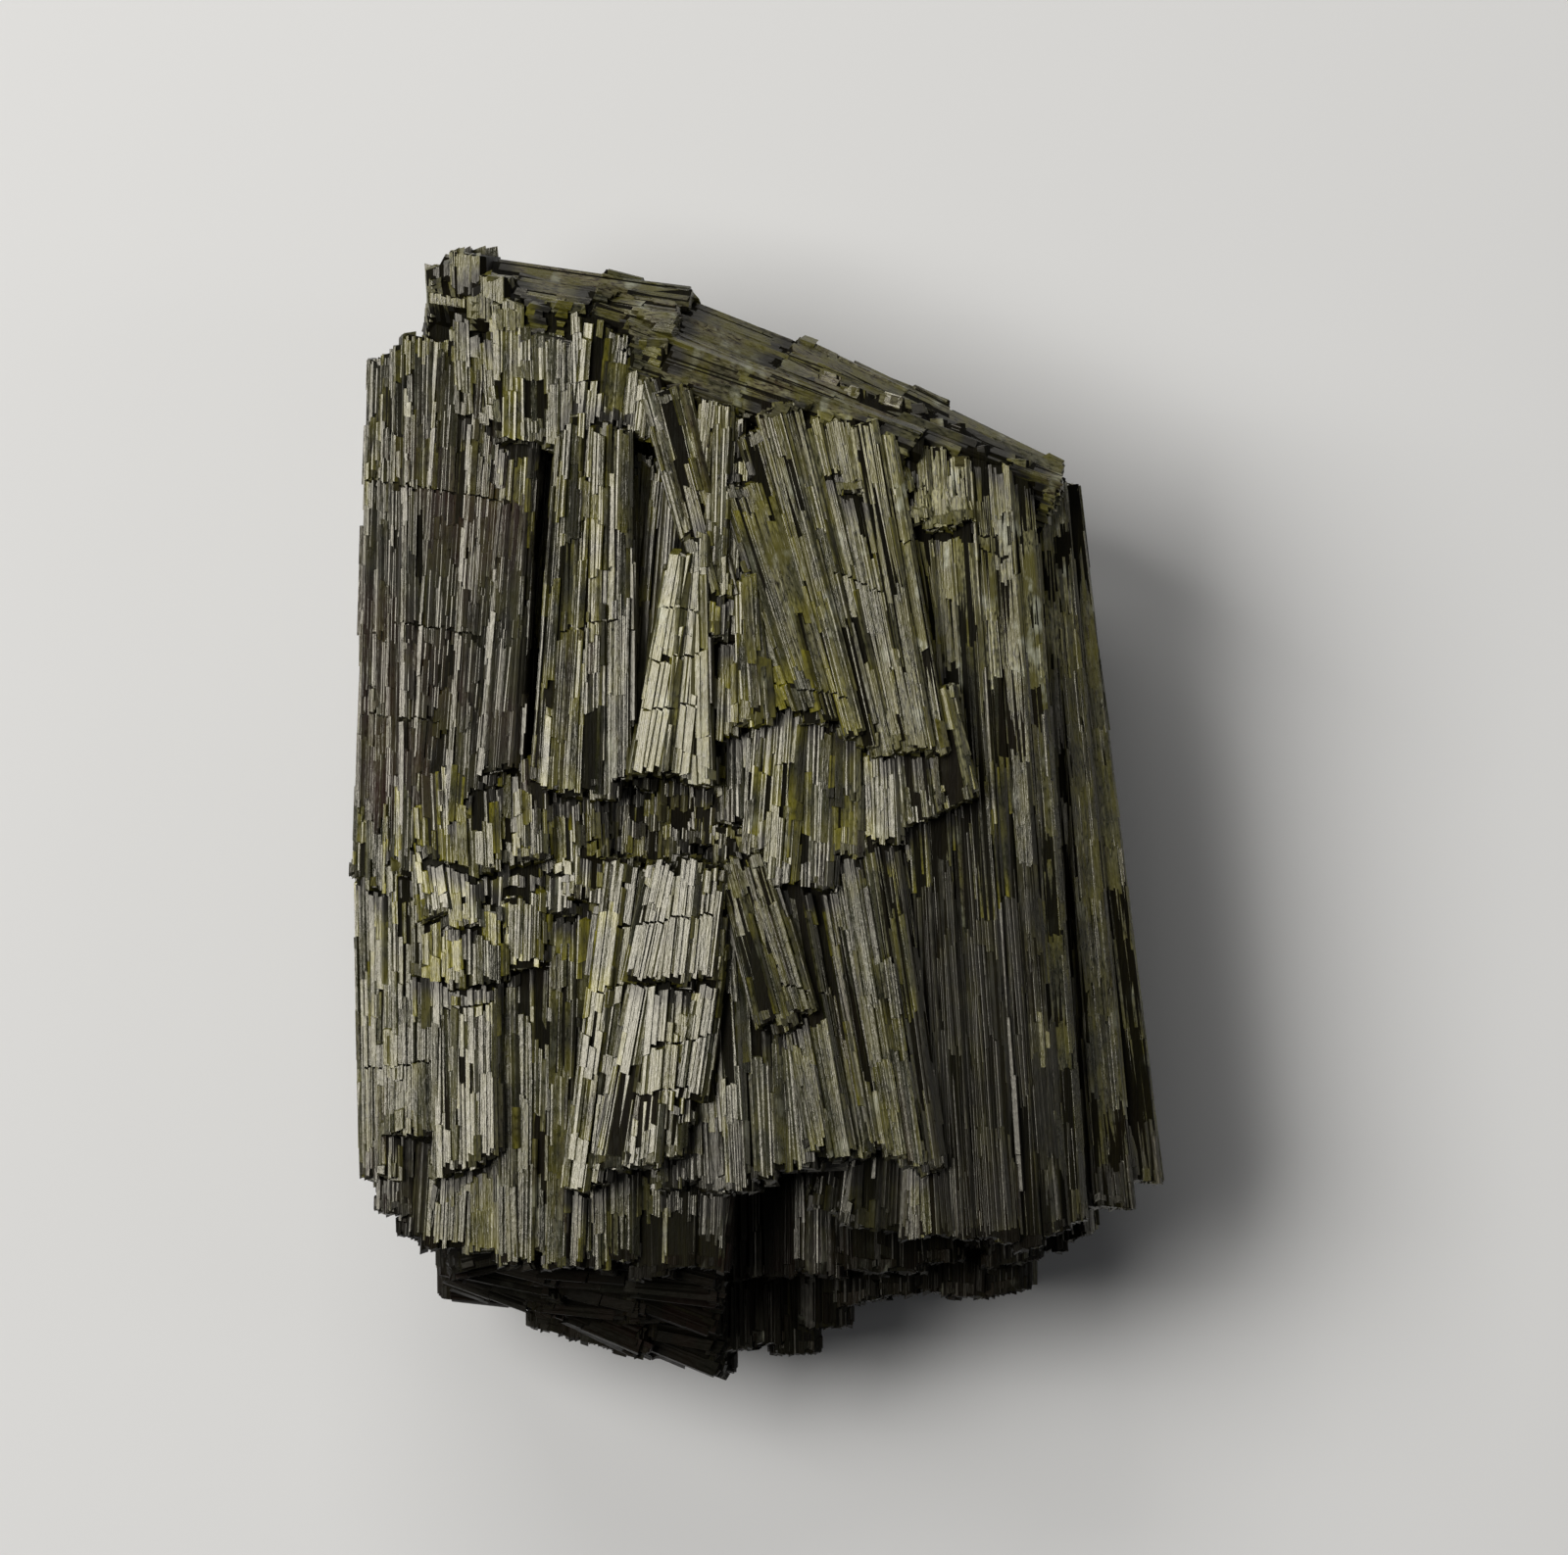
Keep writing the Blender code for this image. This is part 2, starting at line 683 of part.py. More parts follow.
def add_rear_crystals(cluster):
    """The rear layers right of it, which reach further down than the front and show below its edge."""
    cluster.sheaf(
        "rear_middle_high",
        heads=[(-2.2, -10.0), (4.6, -10.0)],
        feet=[(-2.0, -25.2), (4.6, -23.6)],
        count=3,
        head_levels=(12.6, 13.0),
        depth=4.0,
        uneven=1.4,
    )
    cluster.sheaf(
        "rear_middle",
        heads=[(-2.2, 4.0), (4.6, 4.0)],
        feet=[(-2.0, -28.2), (2.5, -28.3), (4.6, -26.9)],
        count=4,
        head_levels=(10.2, 10.6),
        depth=6.5,
    )
    cluster.sheaf(
        "rear_right_high",
        heads=[(4.4, -8.0), (14.4, -8.0)],
        feet=[(4.8, -23.8), (14.2, -23.0)],
        count=5,
        head_levels=(13.8, 13.2),
        depth=5.0,
        uneven=1.2,
    )
    cluster.sheaf(
        "rear_right",
        heads=[(4.4, 4.0), (14.0, 4.0)],
        feet=[(4.6, -25.7), (9.0, -25.5), (13.9, -24.9)],
        count=5,
        head_levels=(11.6, 11.0),
    )
    cluster.sheaf(
        "rear_right_edge",
        heads=[(11.0, 4.0), (14.6, 4.0)],
        feet=[(13.5, -23.6), (17.2, -21.9)],
        count=3,
        head_levels=(11.4, 10.6),
        depth=4.0,
    )
    cluster.sheaf(
        "rear_low",
        heads=[(-14.5, -10.0), (12.5, -10.0)],
        feet=[(-14.0, -23.6), (-8.0, -26.4), (0.0, -26.8), (12.5, -23.6)],
        count=8,
        head_levels=(5.6, 5.8),
        depth=4.0,
        uneven=1.3,
    )


def add_sides_and_back(cluster):
    """The skin of crystals round the left side, the back and the right side."""
    cluster.skin(
        "sides_and_back",
        heads=[
            (-19.3, 21.8, 16.0),
            (-19.4, 21.0, 12.5),
            (-18.6, 21.5, 9.0),
            (-17.3, 21.0, 5.4),
            (-14.8, 21.5, 2.6),
            (-11.0, 22.4, 1.4),
            (-4.0, 22.0, 1.3),
            (3.0, 18.6, 1.3),
            (8.8, 15.6, 1.5),
            (12.3, 13.6, 3.0),
            (14.4, 13.6, 6.2),
            (15.5, 14.6, 9.6),
            (15.8, 15.6, 13.0),
        ],
        feet=[
            (-20.1, -18.0, 15.6),
            (-20.1, -17.0, 12.5),
            (-19.4, -19.4, 9.0),
            (-18.2, -20.4, 5.4),
            (-15.9, -21.6, 2.6),
            (-11.4, -24.4, 1.4),
            (-4.0, -26.0, 1.3),
            (4.0, -25.2, 1.3),
            (10.6, -22.6, 1.5),
            (14.8, -20.6, 3.0),
            (17.6, -19.6, 6.2),
            (19.2, -18.6, 9.6),
            (19.7, -18.0, 12.6),
        ],
        rows=28,
    )


def add_resting_faces(cluster):
    """Two crystals of the back that stand out furthest and lie flat on the ground."""
    left = (-7.4, 19.6, REST), (-7.6, -22.6, REST)
    right = (6.6, 15.0, REST), (6.9, -21.4, REST)
    cluster.crystal(*left, (4.4, 4.8), SKIN_DEPTH, DOWNWARDS, (-0.2, 0.25), 0.1)
    cluster.crystal(*right, (4.8, 4.2), SKIN_DEPTH, DOWNWARDS, (-0.3, -0.2), 0.1)


def add_upper_end(cluster):
    """Crystals under the top facets, whose heads make the end wall."""
    cluster.sheaf(
        "upper_end_high",
        heads=[(-16.2, 26.6), (-5.0, 25.6), (4.0, 21.8), (14.8, 16.2)],
        feet=[(-15.0, 8.0), (-5.0, 8.0), (4.0, 6.0), (13.0, 4.0)],
        count=9,
        head_levels=(12.2, 11.4),
        depth=5.0,
        uneven=1.6,
    )
    cluster.sheaf(
        "upper_end_low",
        heads=[(-15.0, 24.6), (-5.0, 24.2), (4.0, 20.2), (13.0, 15.4)],
        feet=[(-15.0, 8.0), (-5.0, 8.0), (4.0, 6.0), (12.0, 4.0)],
        count=9,
        head_levels=(8.0, 7.6),
        depth=5.0,
        uneven=1.6,
    )


def joined(collection, crystals, material):
    """One solid of all the crystals: the first takes the others in."""
    first = crystals.objects[0]
    crystals.objects.unlink(first)
    collection.objects.link(first)
    first.name = CLUSTER
    union = first.modifiers.new("grown_together", "BOOLEAN")
    union.operation = "UNION"
    union.operand_type = "COLLECTION"
    union.collection = crystals
    union.solver = "EXACT"
    bpy.context.view_layer.update()
    evaluated = first.evaluated_get(bpy.context.evaluated_depsgraph_get())
    bm = bmesh.new()
    bm.from_mesh(evaluated.data)
    first.modifiers.remove(union)
    fill_pockets(bm)
    centre_on_origin(bm)
    bm.to_mesh(first.data)
    bm.free()
    first.data.name = CLUSTER
    first.data.materials.append(material)
    for obj in crystals.objects:
        obj.hide_render = True
        obj.display_type = "WIRE"
    return first


def shells_of(bm):
    """The separate closed shells of the bmesh, as sets of vertices."""
    left = set(bm.verts)
    shells = []
    while left:
        shell = set()
        edge_of_shell = [left.pop()]
        while edge_of_shell:
            vert = edge_of_shell.pop()
            shell.add(vert)
            near = {edge.other_vert(vert) for edge in vert.link_edges} & left
            left -= near
            edge_of_shell.extend(near)
        shells.append(shell)
    return shells


def fill_pockets(bm):
    """Keeps the outer shell, which fills the small closed pockets between the crystals inside."""
    shells = sorted(shells_of(bm), key=len)
    inner = [vert for shell in shells[:-1] for vert in shell]
    bmesh.ops.delete(bm, geom=inner, context="VERTS")


def centre_on_origin(bm):
    """Puts the middle of the resting side on the origin."""
    low = Vector(min(vert.co[axis] for vert in bm.verts) for axis in range(3))
    high = Vector(max(vert.co[axis] for vert in bm.verts) for axis in range(3))
    middle = (low + high) / 2
    bmesh.ops.translate(bm, vec=(-middle.x, -middle.y, -low.z), verts=bm.verts)


def main():
    clear_scene()
    collection = new_collection("epidote_crystal_cluster")
    crystals = new_collection(CRYSTALS)
    cluster = Cluster(crystals)
    for add_group in (
        add_heart,
        add_left_block,
        add_upper_left_steps,
        add_left_columns,
        add_bright_blade,
        add_crossing_splinters,
        add_right_fan,
        add_middle_layer,
        add_lower_fan,
        add_lower_centre,
        add_middle_steps,
        add_lower_left,
        add_right_slab,
        add_top_crystals,
        add_layered_foot,
        add_rear_crystals,
        add_sides_and_back,
        add_resting_faces,
        add_upper_end,
    ):
        add_group(cluster)
    joined(collection, crystals, epidote())


main()
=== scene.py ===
"""The looks of an epidote crystal cluster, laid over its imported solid.

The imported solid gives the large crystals. Each of its flat faces is read back as a facet with the
direction that its crystal grew in. Ribbed laths are laid along that direction, and bundles of
short broken stubs stand on the faces where crystals end. How coarse, loose, bright or dull they
are comes from zones of growth that are given in millimetres on the cluster's front.
"""

import logging
import math
from dataclasses import dataclass, field
from enum import Enum

import bmesh
import bpy
import numpy as np
from mathutils import Matrix, Vector
from mathutils.bvhtree import BVHTree


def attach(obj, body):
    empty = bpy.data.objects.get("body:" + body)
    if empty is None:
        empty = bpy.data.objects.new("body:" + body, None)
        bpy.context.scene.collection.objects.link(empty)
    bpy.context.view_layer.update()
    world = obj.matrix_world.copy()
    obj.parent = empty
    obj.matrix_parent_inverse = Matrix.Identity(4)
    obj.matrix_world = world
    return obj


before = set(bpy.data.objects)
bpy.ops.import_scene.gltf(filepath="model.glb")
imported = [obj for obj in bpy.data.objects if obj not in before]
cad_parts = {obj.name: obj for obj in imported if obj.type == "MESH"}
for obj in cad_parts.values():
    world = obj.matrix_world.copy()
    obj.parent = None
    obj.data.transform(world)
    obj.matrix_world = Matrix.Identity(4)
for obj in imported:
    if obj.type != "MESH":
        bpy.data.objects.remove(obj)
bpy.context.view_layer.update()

LOG = logging.getLogger("epidote")
NODE = "epidote_cluster"
BODY = "root"
SEED = 4117

Point = tuple[float, float]
Triple = tuple[float, float, float]
Quad = tuple[float, float, float, float]
Source = bpy.types.NodeSocket | Triple | float | None

# Units and the least lengths that count
MM = 0.001
MERGE = 0.001 * MM
CLOSE = 1e-4
TINY = 1e-6

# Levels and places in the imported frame's millimetres
FRONT_LEVEL = 20.5
DEEP_LEVEL = FRONT_LEVEL - 3.0
FLANK_LEVEL = FRONT_LEVEL - 6.0
HEAD_LEVEL = FRONT_LEVEL - 9.0
FOOT_END = -21.0
BAND_START = 21.6
BAND_SLOPE = -0.35
BAND_CORNER = (-12.0, 23.5)
RESTING_REACH = 0.05

# How far a facet's direction points up
FRONT_FACING = 0.3
BACK_FACING = -0.5
RESTING_FACING = -0.95
HEADWARDS = np.array([0.0, 1.0, 0.0])

# The zones' own layout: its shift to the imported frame, and where its deep foot starts
LAYOUT_SHIFT = (-0.23, 0.35)
DEEP_END = -17.5

# What the columns of a stored lath hold after its four directions
SIZE_COLUMNS = range(12, 16)
PATTERN_COLUMN = 16
LOOKS_COLUMNS = slice(17, 21)
# Painted shade: a wall at the foot, a wall at the head, and how sheltered the lath lies
PAINTED_SHADE_COLUMNS = slice(21, 24)


class Side(Enum):
    """The part of the cluster that a facet belongs to."""

    FRONT = "front"
    FLANK = "flank"
    BACK = "back"
    ENDS = "ends"
    FOOT = "foot"


class Surface(Enum):
    """The kinds of lath top."""

    RIBBED = "ribbed"
    SMOOTH = "smooth"
    STUB = "stub"


@dataclass(frozen=True)
class Habit:
    """How the laths grow in one zone, in millimetres and degrees.

    Args:
        width: Narrowest and widest usual lath.
        bundle: Narrowest and widest bundle of laths that break and turn together.
        relief: Lowest and highest stand of a lath over its facet.
        roll: Spread of the turn about a lath's own length.
        lean: Turn about its length, from level, that the whole zone tends to.
        pull: How far the laths follow that turn and leave their facet's own, 0 to 1.
        length: Usual length between two breaks.
        jut: How far laths pass or miss a free end.
        smooth: Share of laths with a smooth top.
        tone: Lightness of the stone, 0 to 1; zone by zone it is partly the stone's own tone and
            partly painted light and shade, lower where a zone lies in shadow or turned from the
            light.
        warm: Share of reddish brown, 0 to 1.
        dull: Share of the weathered, greyer skin, 0 to 1.
        glow: Strength of the yellow-green seen at thin ends, 0 to 1.
        hidden: Shelter that is added to what near crystals give, or taken off it, -1 to 1; it turns
            laths away from the light and paints shade into their tone and colour.
    """

    width: Point = (0.12, 0.42)
    bundle: Point = (0.6, 1.9)
    relief: Point = (-0.04, 0.2)
    roll: float = 9.0
    lean: float = 0.0
    pull: float = 0.35
    length: float = 6.0
    jut: float = 0.35
    smooth: float = 0.15
    tone: float = 0.35
    warm: float = 0.0
    dull: float = 0.1
    glow: float = 0.35
    hidden: float = 0.0


@dataclass(frozen=True)
class Zone:
    """A patch of the front and how laths grow there.

    Args:
        name: Which patch it is.
        outline: Its closed outline, in the layout's millimetres.
        habit: How its laths grow.
    """

    name: str
    outline: tuple[Point, ...]
    habit: Habit

    def holds(self, x: float, y: float) -> bool:
        """Tells whether a point of the layout lies inside the outline.

        Args:
            x: The point's place to the right.
            y: The point's place towards the head.

        Returns:
            Whether it does.
        """
        inside = False
        last_x, last_y = self.outline[-1]
        for this_x, this_y in self.outline:
            if (this_y > y) != (last_y > y):
                crossing = this_x + (y - this_y) * (last_x - this_x) / (last_y - this_y)
                if x < crossing:
                    inside = not inside
            last_x, last_y = this_x, this_y
        return inside


# A zone's tone and hidden are partly painted light and shade: zones in shadow or turned from the
# light, such as the shadow zones and the dark slab, get a low tone and added shelter, and the
# bright blade a high tone
FRONT_ZONES: tuple[Zone, ...] = (
    Zone("ledge shadow",
         ((-12.5, 1.4), (-6.4, 1.0), (-1.2, 0.8), (-1.0, -2.4), (-3.4, -2.9), (-6.0, -2.2),
          (-9.0, -1.0), (-12.5, -0.4)),
         Habit(width=(0.1, 0.3), bundle=(0.3, 0.9), relief=(-0.1, 0.25), roll=11.0, lean=4.0,
               pull=0.5, length=0.9, tone=0.2, warm=0.2, dull=0.0, glow=0.8, hidden=0.2)),
    Zone("middle shadow",
         ((0.5, -2.7), (6.5, -1.5), (7.6, -3.4), (1.0, -4.8)),
         Habit(width=(0.1, 0.3), bundle=(0.3, 0.9), relief=(-0.1, 0.25), roll=10.0, lean=4.0,
               pull=0.5, length=1.2, tone=0.15, dull=0.0, glow=0.8, hidden=0.25)),
    Zone("lower shadow",
         ((-4.2, -17.8), (2.4, -17.2), (7.0, -19.0), (7.0, -22.0), (-1.0, -24.0), (-4.6, -21.4)),
         Habit(width=(0.12, 0.4), relief=(-0.15, 0.12), roll=7.0, lean=4.0, pull=0.5, length=2.5,
               tone=0.0, dull=0.0, glow=0.1, hidden=0.5)),
    Zone("corner face",
         ((-17.5, 24.2), (-12.2, 24.2), (-12.0, 30.0), (-17.5, 30.0)),
         Habit(width=(0.15, 0.5), bundle=(1.5, 3.0), relief=(0.0, 0.03), roll=1.5, lean=-10.0,
               pull=0.6, length=6.0, jut=0.1, smooth=0.7, tone=0.3, dull=0.55, glow=0.2)),
    Zone("top facets",
         ((-17.5, 30.0), (17.5, 21.0), (17.5, 15.5), (4.0, 20.2), (-4.0, 22.6), (-7.0, 25.2),
          (-12.0, 26.6), (-17.5, 27.6)),
         Habit(width=(0.12, 0.6), bundle=(0.8, 3.0), relief=(0.0, 0.05), roll=2.5, pull=0.0,
               length=7.0, jut=0.15, smooth=0.6, tone=0.25, warm=0.4, dull=0.36, glow=0.15)),
    Zone("upper left steps",
         ((-17.5, 27.6), (-12.0, 26.6), (-7.0, 25.2), (-4.0, 22.6), (-4.6, 18.6), (-11.5, 18.6),
          (-14.5, 21.6), (-17.5, 23.0)),
         Habit(width=(0.2, 0.6), relief=(-0.02, 0.34), roll=10.0, lean=-5.0, length=2.0, jut=0.4,
               tone=0.5, dull=0.15, glow=0.6)),
    Zone("bright blade",
         ((-4.2, 14.5), (-2.4, 14.5), (-1.9, 1.4), (-6.6, 1.4), (-6.0, 5.0)),
         Habit(width=(0.25, 0.9), bundle=(1.0, 2.4), relief=(0.0, 0.14), roll=2.5, lean=-18.0,
               pull=0.8, length=5.0, jut=0.3, smooth=0.75, tone=0.85, dull=0.6, glow=0.5)),
    Zone("columns",
         ((-11.6, 19.0), (-4.2, 19.0), (-4.2, 12.0), (-6.0, 5.0), (-6.2, 0.5), (-11.6, 0.5)),
         Habit(width=(0.12, 0.42), bundle=(0.6, 1.6), relief=(-0.02, 0.30), roll=9.0, lean=3.0,
               length=3.6, jut=0.5, tone=0.3, warm=0.1, dull=0.05, glow=0.6, hidden=0.1)),
    Zone("left block above",
         ((-22.0, 24.5), (-14.5, 24.5), (-11.6, 20.0), (-11.6, 16.0), (-22.0, 16.6)),
         Habit(width=(0.1, 0.34), bundle=(0.4, 1.2), relief=(-0.02, 0.20), roll=9.0, lean=5.0,
               pull=0.6, length=2.6, tone=0.35, warm=0.2, dull=0.05, glow=0.5, hidden=0.25)),
    Zone("left block below",
         ((-22.0, 16.6), (-11.6, 16.0), (-11.6, 1.5), (-13.5, 1.0), (-22.0, -1.0)),
         Habit(width=(0.1, 0.32), bundle=(0.4, 1.2), relief=(-0.02, 0.28), roll=6.5, lean=16.0,
               pull=0.8, length=2.2, tone=0.05, warm=1.0, smooth=0.3, dull=0.0, glow=0.2,
               hidden=0.55)),
    Zone("left steps",
         ((-22.0, -1.0), (-13.5, 1.0), (-11.6, 1.5), (-5.6, 0.5), (-5.6, -9.5), (-22.0, -9.5)),
         Habit(width=(0.18, 0.55), relief=(-0.02, 0.34), roll=9.0, lean=-11.0, length=2.2,
               jut=0.45, smooth=0.3, tone=0.5, glow=1.0)),
    Zone("lower left",
         ((-22.0, -9.5), (-9.5, -9.5), (-9.0, -26.0), (-22.0, -26.0)),
         Habit(width=(0.14, 0.45), relief=(-0.02, 0.28), roll=8.0, lean=-17.0, pull=0.75,
               length=4.0, jut=0.45, smooth=0.65, tone=0.55, glow=0.4)),
    Zone("lower blades",
         ((-5.6, -2.0), (-0.9, -2.0), (-1.2, -12.0), (-0.6, -22.0), (-9.0, -22.0), (-8.6, -9.5)),
         Habit(width=(0.16, 0.55), bundle=(0.7, 2.0), relief=(-0.02, 0.28), roll=5.0, lean=-18.0,
               pull=0.9, length=4.0, jut=0.45, smooth=0.6, tone=0.6, glow=0.5)),
    Zone("pale slab",
         ((2.0, 20.6), (7.0, 20.0), (16.0, 17.0), (16.0, 6.0), (9.5, 6.0), (9.0, 9.0),
          (5.0, 12.5), (3.6, 15.5)),
         Habit(width=(0.08, 0.34), bundle=(0.8, 2.4), relief=(0.0, 0.04), roll=2.5, lean=-12.0,
               pull=0.7, length=3.5, jut=0.2, smooth=0.3, tone=0.6, dull=1.0, glow=0.4,
               hidden=-0.6)),
    Zone("crossing splinters",
         ((-6.0, 22.6), (0.8, 22.0), (0.8, 16.0), (-0.2, 9.5), (-3.0, 9.5)),
         Habit(width=(0.15, 0.4), relief=(-0.02, 0.25), roll=13.0, length=3.5, jut=0.4, tone=0.5,
               warm=0.25, dull=0.3, glow=0.4)),
    Zone("yellow blades",
         ((-2.6, 12.0), (0.4, 12.0), (4.4, 4.0), (4.4, 0.5), (-2.6, 0.5)),
         Habit(width=(0.2, 0.6), relief=(-0.02, 0.30), roll=9.0, lean=-6.0, length=2.6, jut=0.45,
               tone=0.6, glow=1.0)),
    Zone("right fan",
         ((-0.2, 21.8), (7.0, 20.0), (11.0, 12.0), (11.4, 2.0), (4.4, 2.0), (0.4, 12.0)),
         Habit(width=(0.14, 0.5), bundle=(1.0, 2.6), relief=(-0.02, 0.14), roll=4.5, lean=-13.0,
               pull=0.5, length=6.0, jut=0.35, smooth=0.4, tone=0.6, dull=0.45, glow=0.5,
               hidden=-0.15)),
    Zone("middle layer",
         ((-2.0, 2.0), (13.0, 2.0), (13.0, -3.0), (3.0, -5.0), (-2.0, -3.4)),
         Habit(width=(0.15, 0.5), relief=(-0.02, 0.24), roll=7.0, lean=-9.0, length=4.0, jut=0.45,
               smooth=0.2, tone=0.65, dull=0.2, glow=0.9)),
    Zone("lower fan",
         ((-1.0, -3.4), (7.0, -3.4), (9.5, -22.0), (-0.6, -22.0)),
         Habit(width=(0.14, 0.48), relief=(-0.02, 0.26), roll=8.0, lean=-8.0, length=5.0, jut=0.45,
               smooth=0.15, tone=0.4, dull=0.15, glow=0.35)),
    Zone("dark slab",
         ((6.0, -3.4), (10.0, -1.6), (14.4, -0.6), (15.8, -23.0), (7.0, -23.0)),
         Habit(width=(0.08, 0.3), bundle=(0.6, 2.0), relief=(-0.01, 0.03), roll=2.5, lean=8.0,
               pull=0.7, length=4.5, jut=0.35, smooth=0.6, tone=0.05, dull=0.06, glow=0.3,
               hidden=0.8)),
    Zone("right slab",
         ((7.0, 6.0), (14.6, 6.0), (15.8, -23.0), (7.0, -23.0)),
         Habit(width=(0.08, 0.3), bundle=(0.6, 2.0), relief=(-0.01, 0.03), roll=2.0, lean=7.0,
               pull=0.8, length=4.5, jut=0.2, smooth=0.7, tone=0.06, dull=0.2, glow=0.3,
               hidden=0.1)),
    Zone("right ridge",
         ((14.0, 18.0), (19.0, 18.0), (22.0, -24.0), (14.6, -24.0)),
         Habit(width=(0.08, 0.32), bundle=(0.6, 1.9), relief=(-0.01, 0.04), roll=3.0, lean=4.0,
               pull=0.6, length=3.0, jut=0.35, smooth=0.6, tone=0.15, dull=0.24, glow=0.3,
               hidden=0.1)),
)

# Lines of the layout at which laths are broken across
CROSS_CRACKS: tuple[tuple[Point, Point], ...] = (
    ((-20.5, 16.9), (-12.6, 15.6)), ((-5.4, 7.4), (-2.6, 7.9)), ((-5.9, 4.9), (-3.2, 5.3)),
    ((7.2, 13.6), (12.5, 13.9)), ((10.4, 13.9), (13.0, 12.6)), ((0.6, 6.4), (4.8, 5.6)),
    ((-18.5, 9.5), (-14.0, 8.8)), ((-10.0, 9.0), (-7.0, 9.6)), ((-7.2, -6.2), (-2.2, -5.4)),
    ((-5.4, -12.4), (-2.2, -11.6)), ((-20.0, -13.4), (-16.6, -13.0)), ((1.4, -9.0), (4.2, -9.8)),
    ((-16.0, -10.4), (-13.4, -10.0)), ((4.0, 12.0), (6.6, 11.0)), ((-4.6, 10.3), (-2.9, 10.0)),
    ((-8.2, -9.4), (-3.6, -8.6)), ((-6.6, -14.8), (-3.2, -14.2)), ((-20.4, 4.8), (-16.2, 4.4)),
)

# How laths grow where no zone of the front holds
PLAIN_FRONT = Habit()
# The deep and foot habits have a low tone and added shelter: painted shade on the low layers that
# lie in shadow
DEEP_HABIT = Habit(width=(0.15, 0.5), relief=(-0.06, 0.2), roll=8.0, lean=8.0, length=4.0,
                   tone=0.0, warm=0.3, dull=0.1, glow=0.1, hidden=0.6)
FLANK_HABIT = Habit(width=(0.15, 0.5), relief=(-0.02, 0.10), roll=5.0, length=5.0, jut=0.15,
                    tone=0.3, dull=0.2, glow=0.3)
BACK_HABIT = Habit(width=(0.3, 1.1), relief=(-0.06, 0.16), roll=7.0, length=9.0, tone=0.3,
                   dull=0.3, glow=0.25)
FOOT_HABIT = Habit(width=(0.25, 0.7), relief=(-0.06, 0.16), roll=5.0, length=5.0, tone=0.15,
                   warm=0.8, dull=0.0, glow=0.0, hidden=0.6)


@dataclass(frozen=True)
class LathPattern:
    """A lath of unit width, stored so that it stretches in the middle and keeps its ends.

    Args:
        across: Each corner's place across the lath, from -0.5 to 0.5.
        head: Whether each corner belongs to the head end.
        overrun: How far each corner lies beyond its end, in widths.
        up: How far each top corner lies over the crest, in widths, so that a sunk one is negative.
        top: Whether each corner belongs to the top.
        loops: The corners of the faces, one after another.
        counts: The number of corners of each face.
    """

    across: np.ndarray
    head: np.ndarray
    overrun: np.ndarray
    up: np.ndarray
    top: np.ndarray
    loops: np.ndarray
    counts: np.ndarray


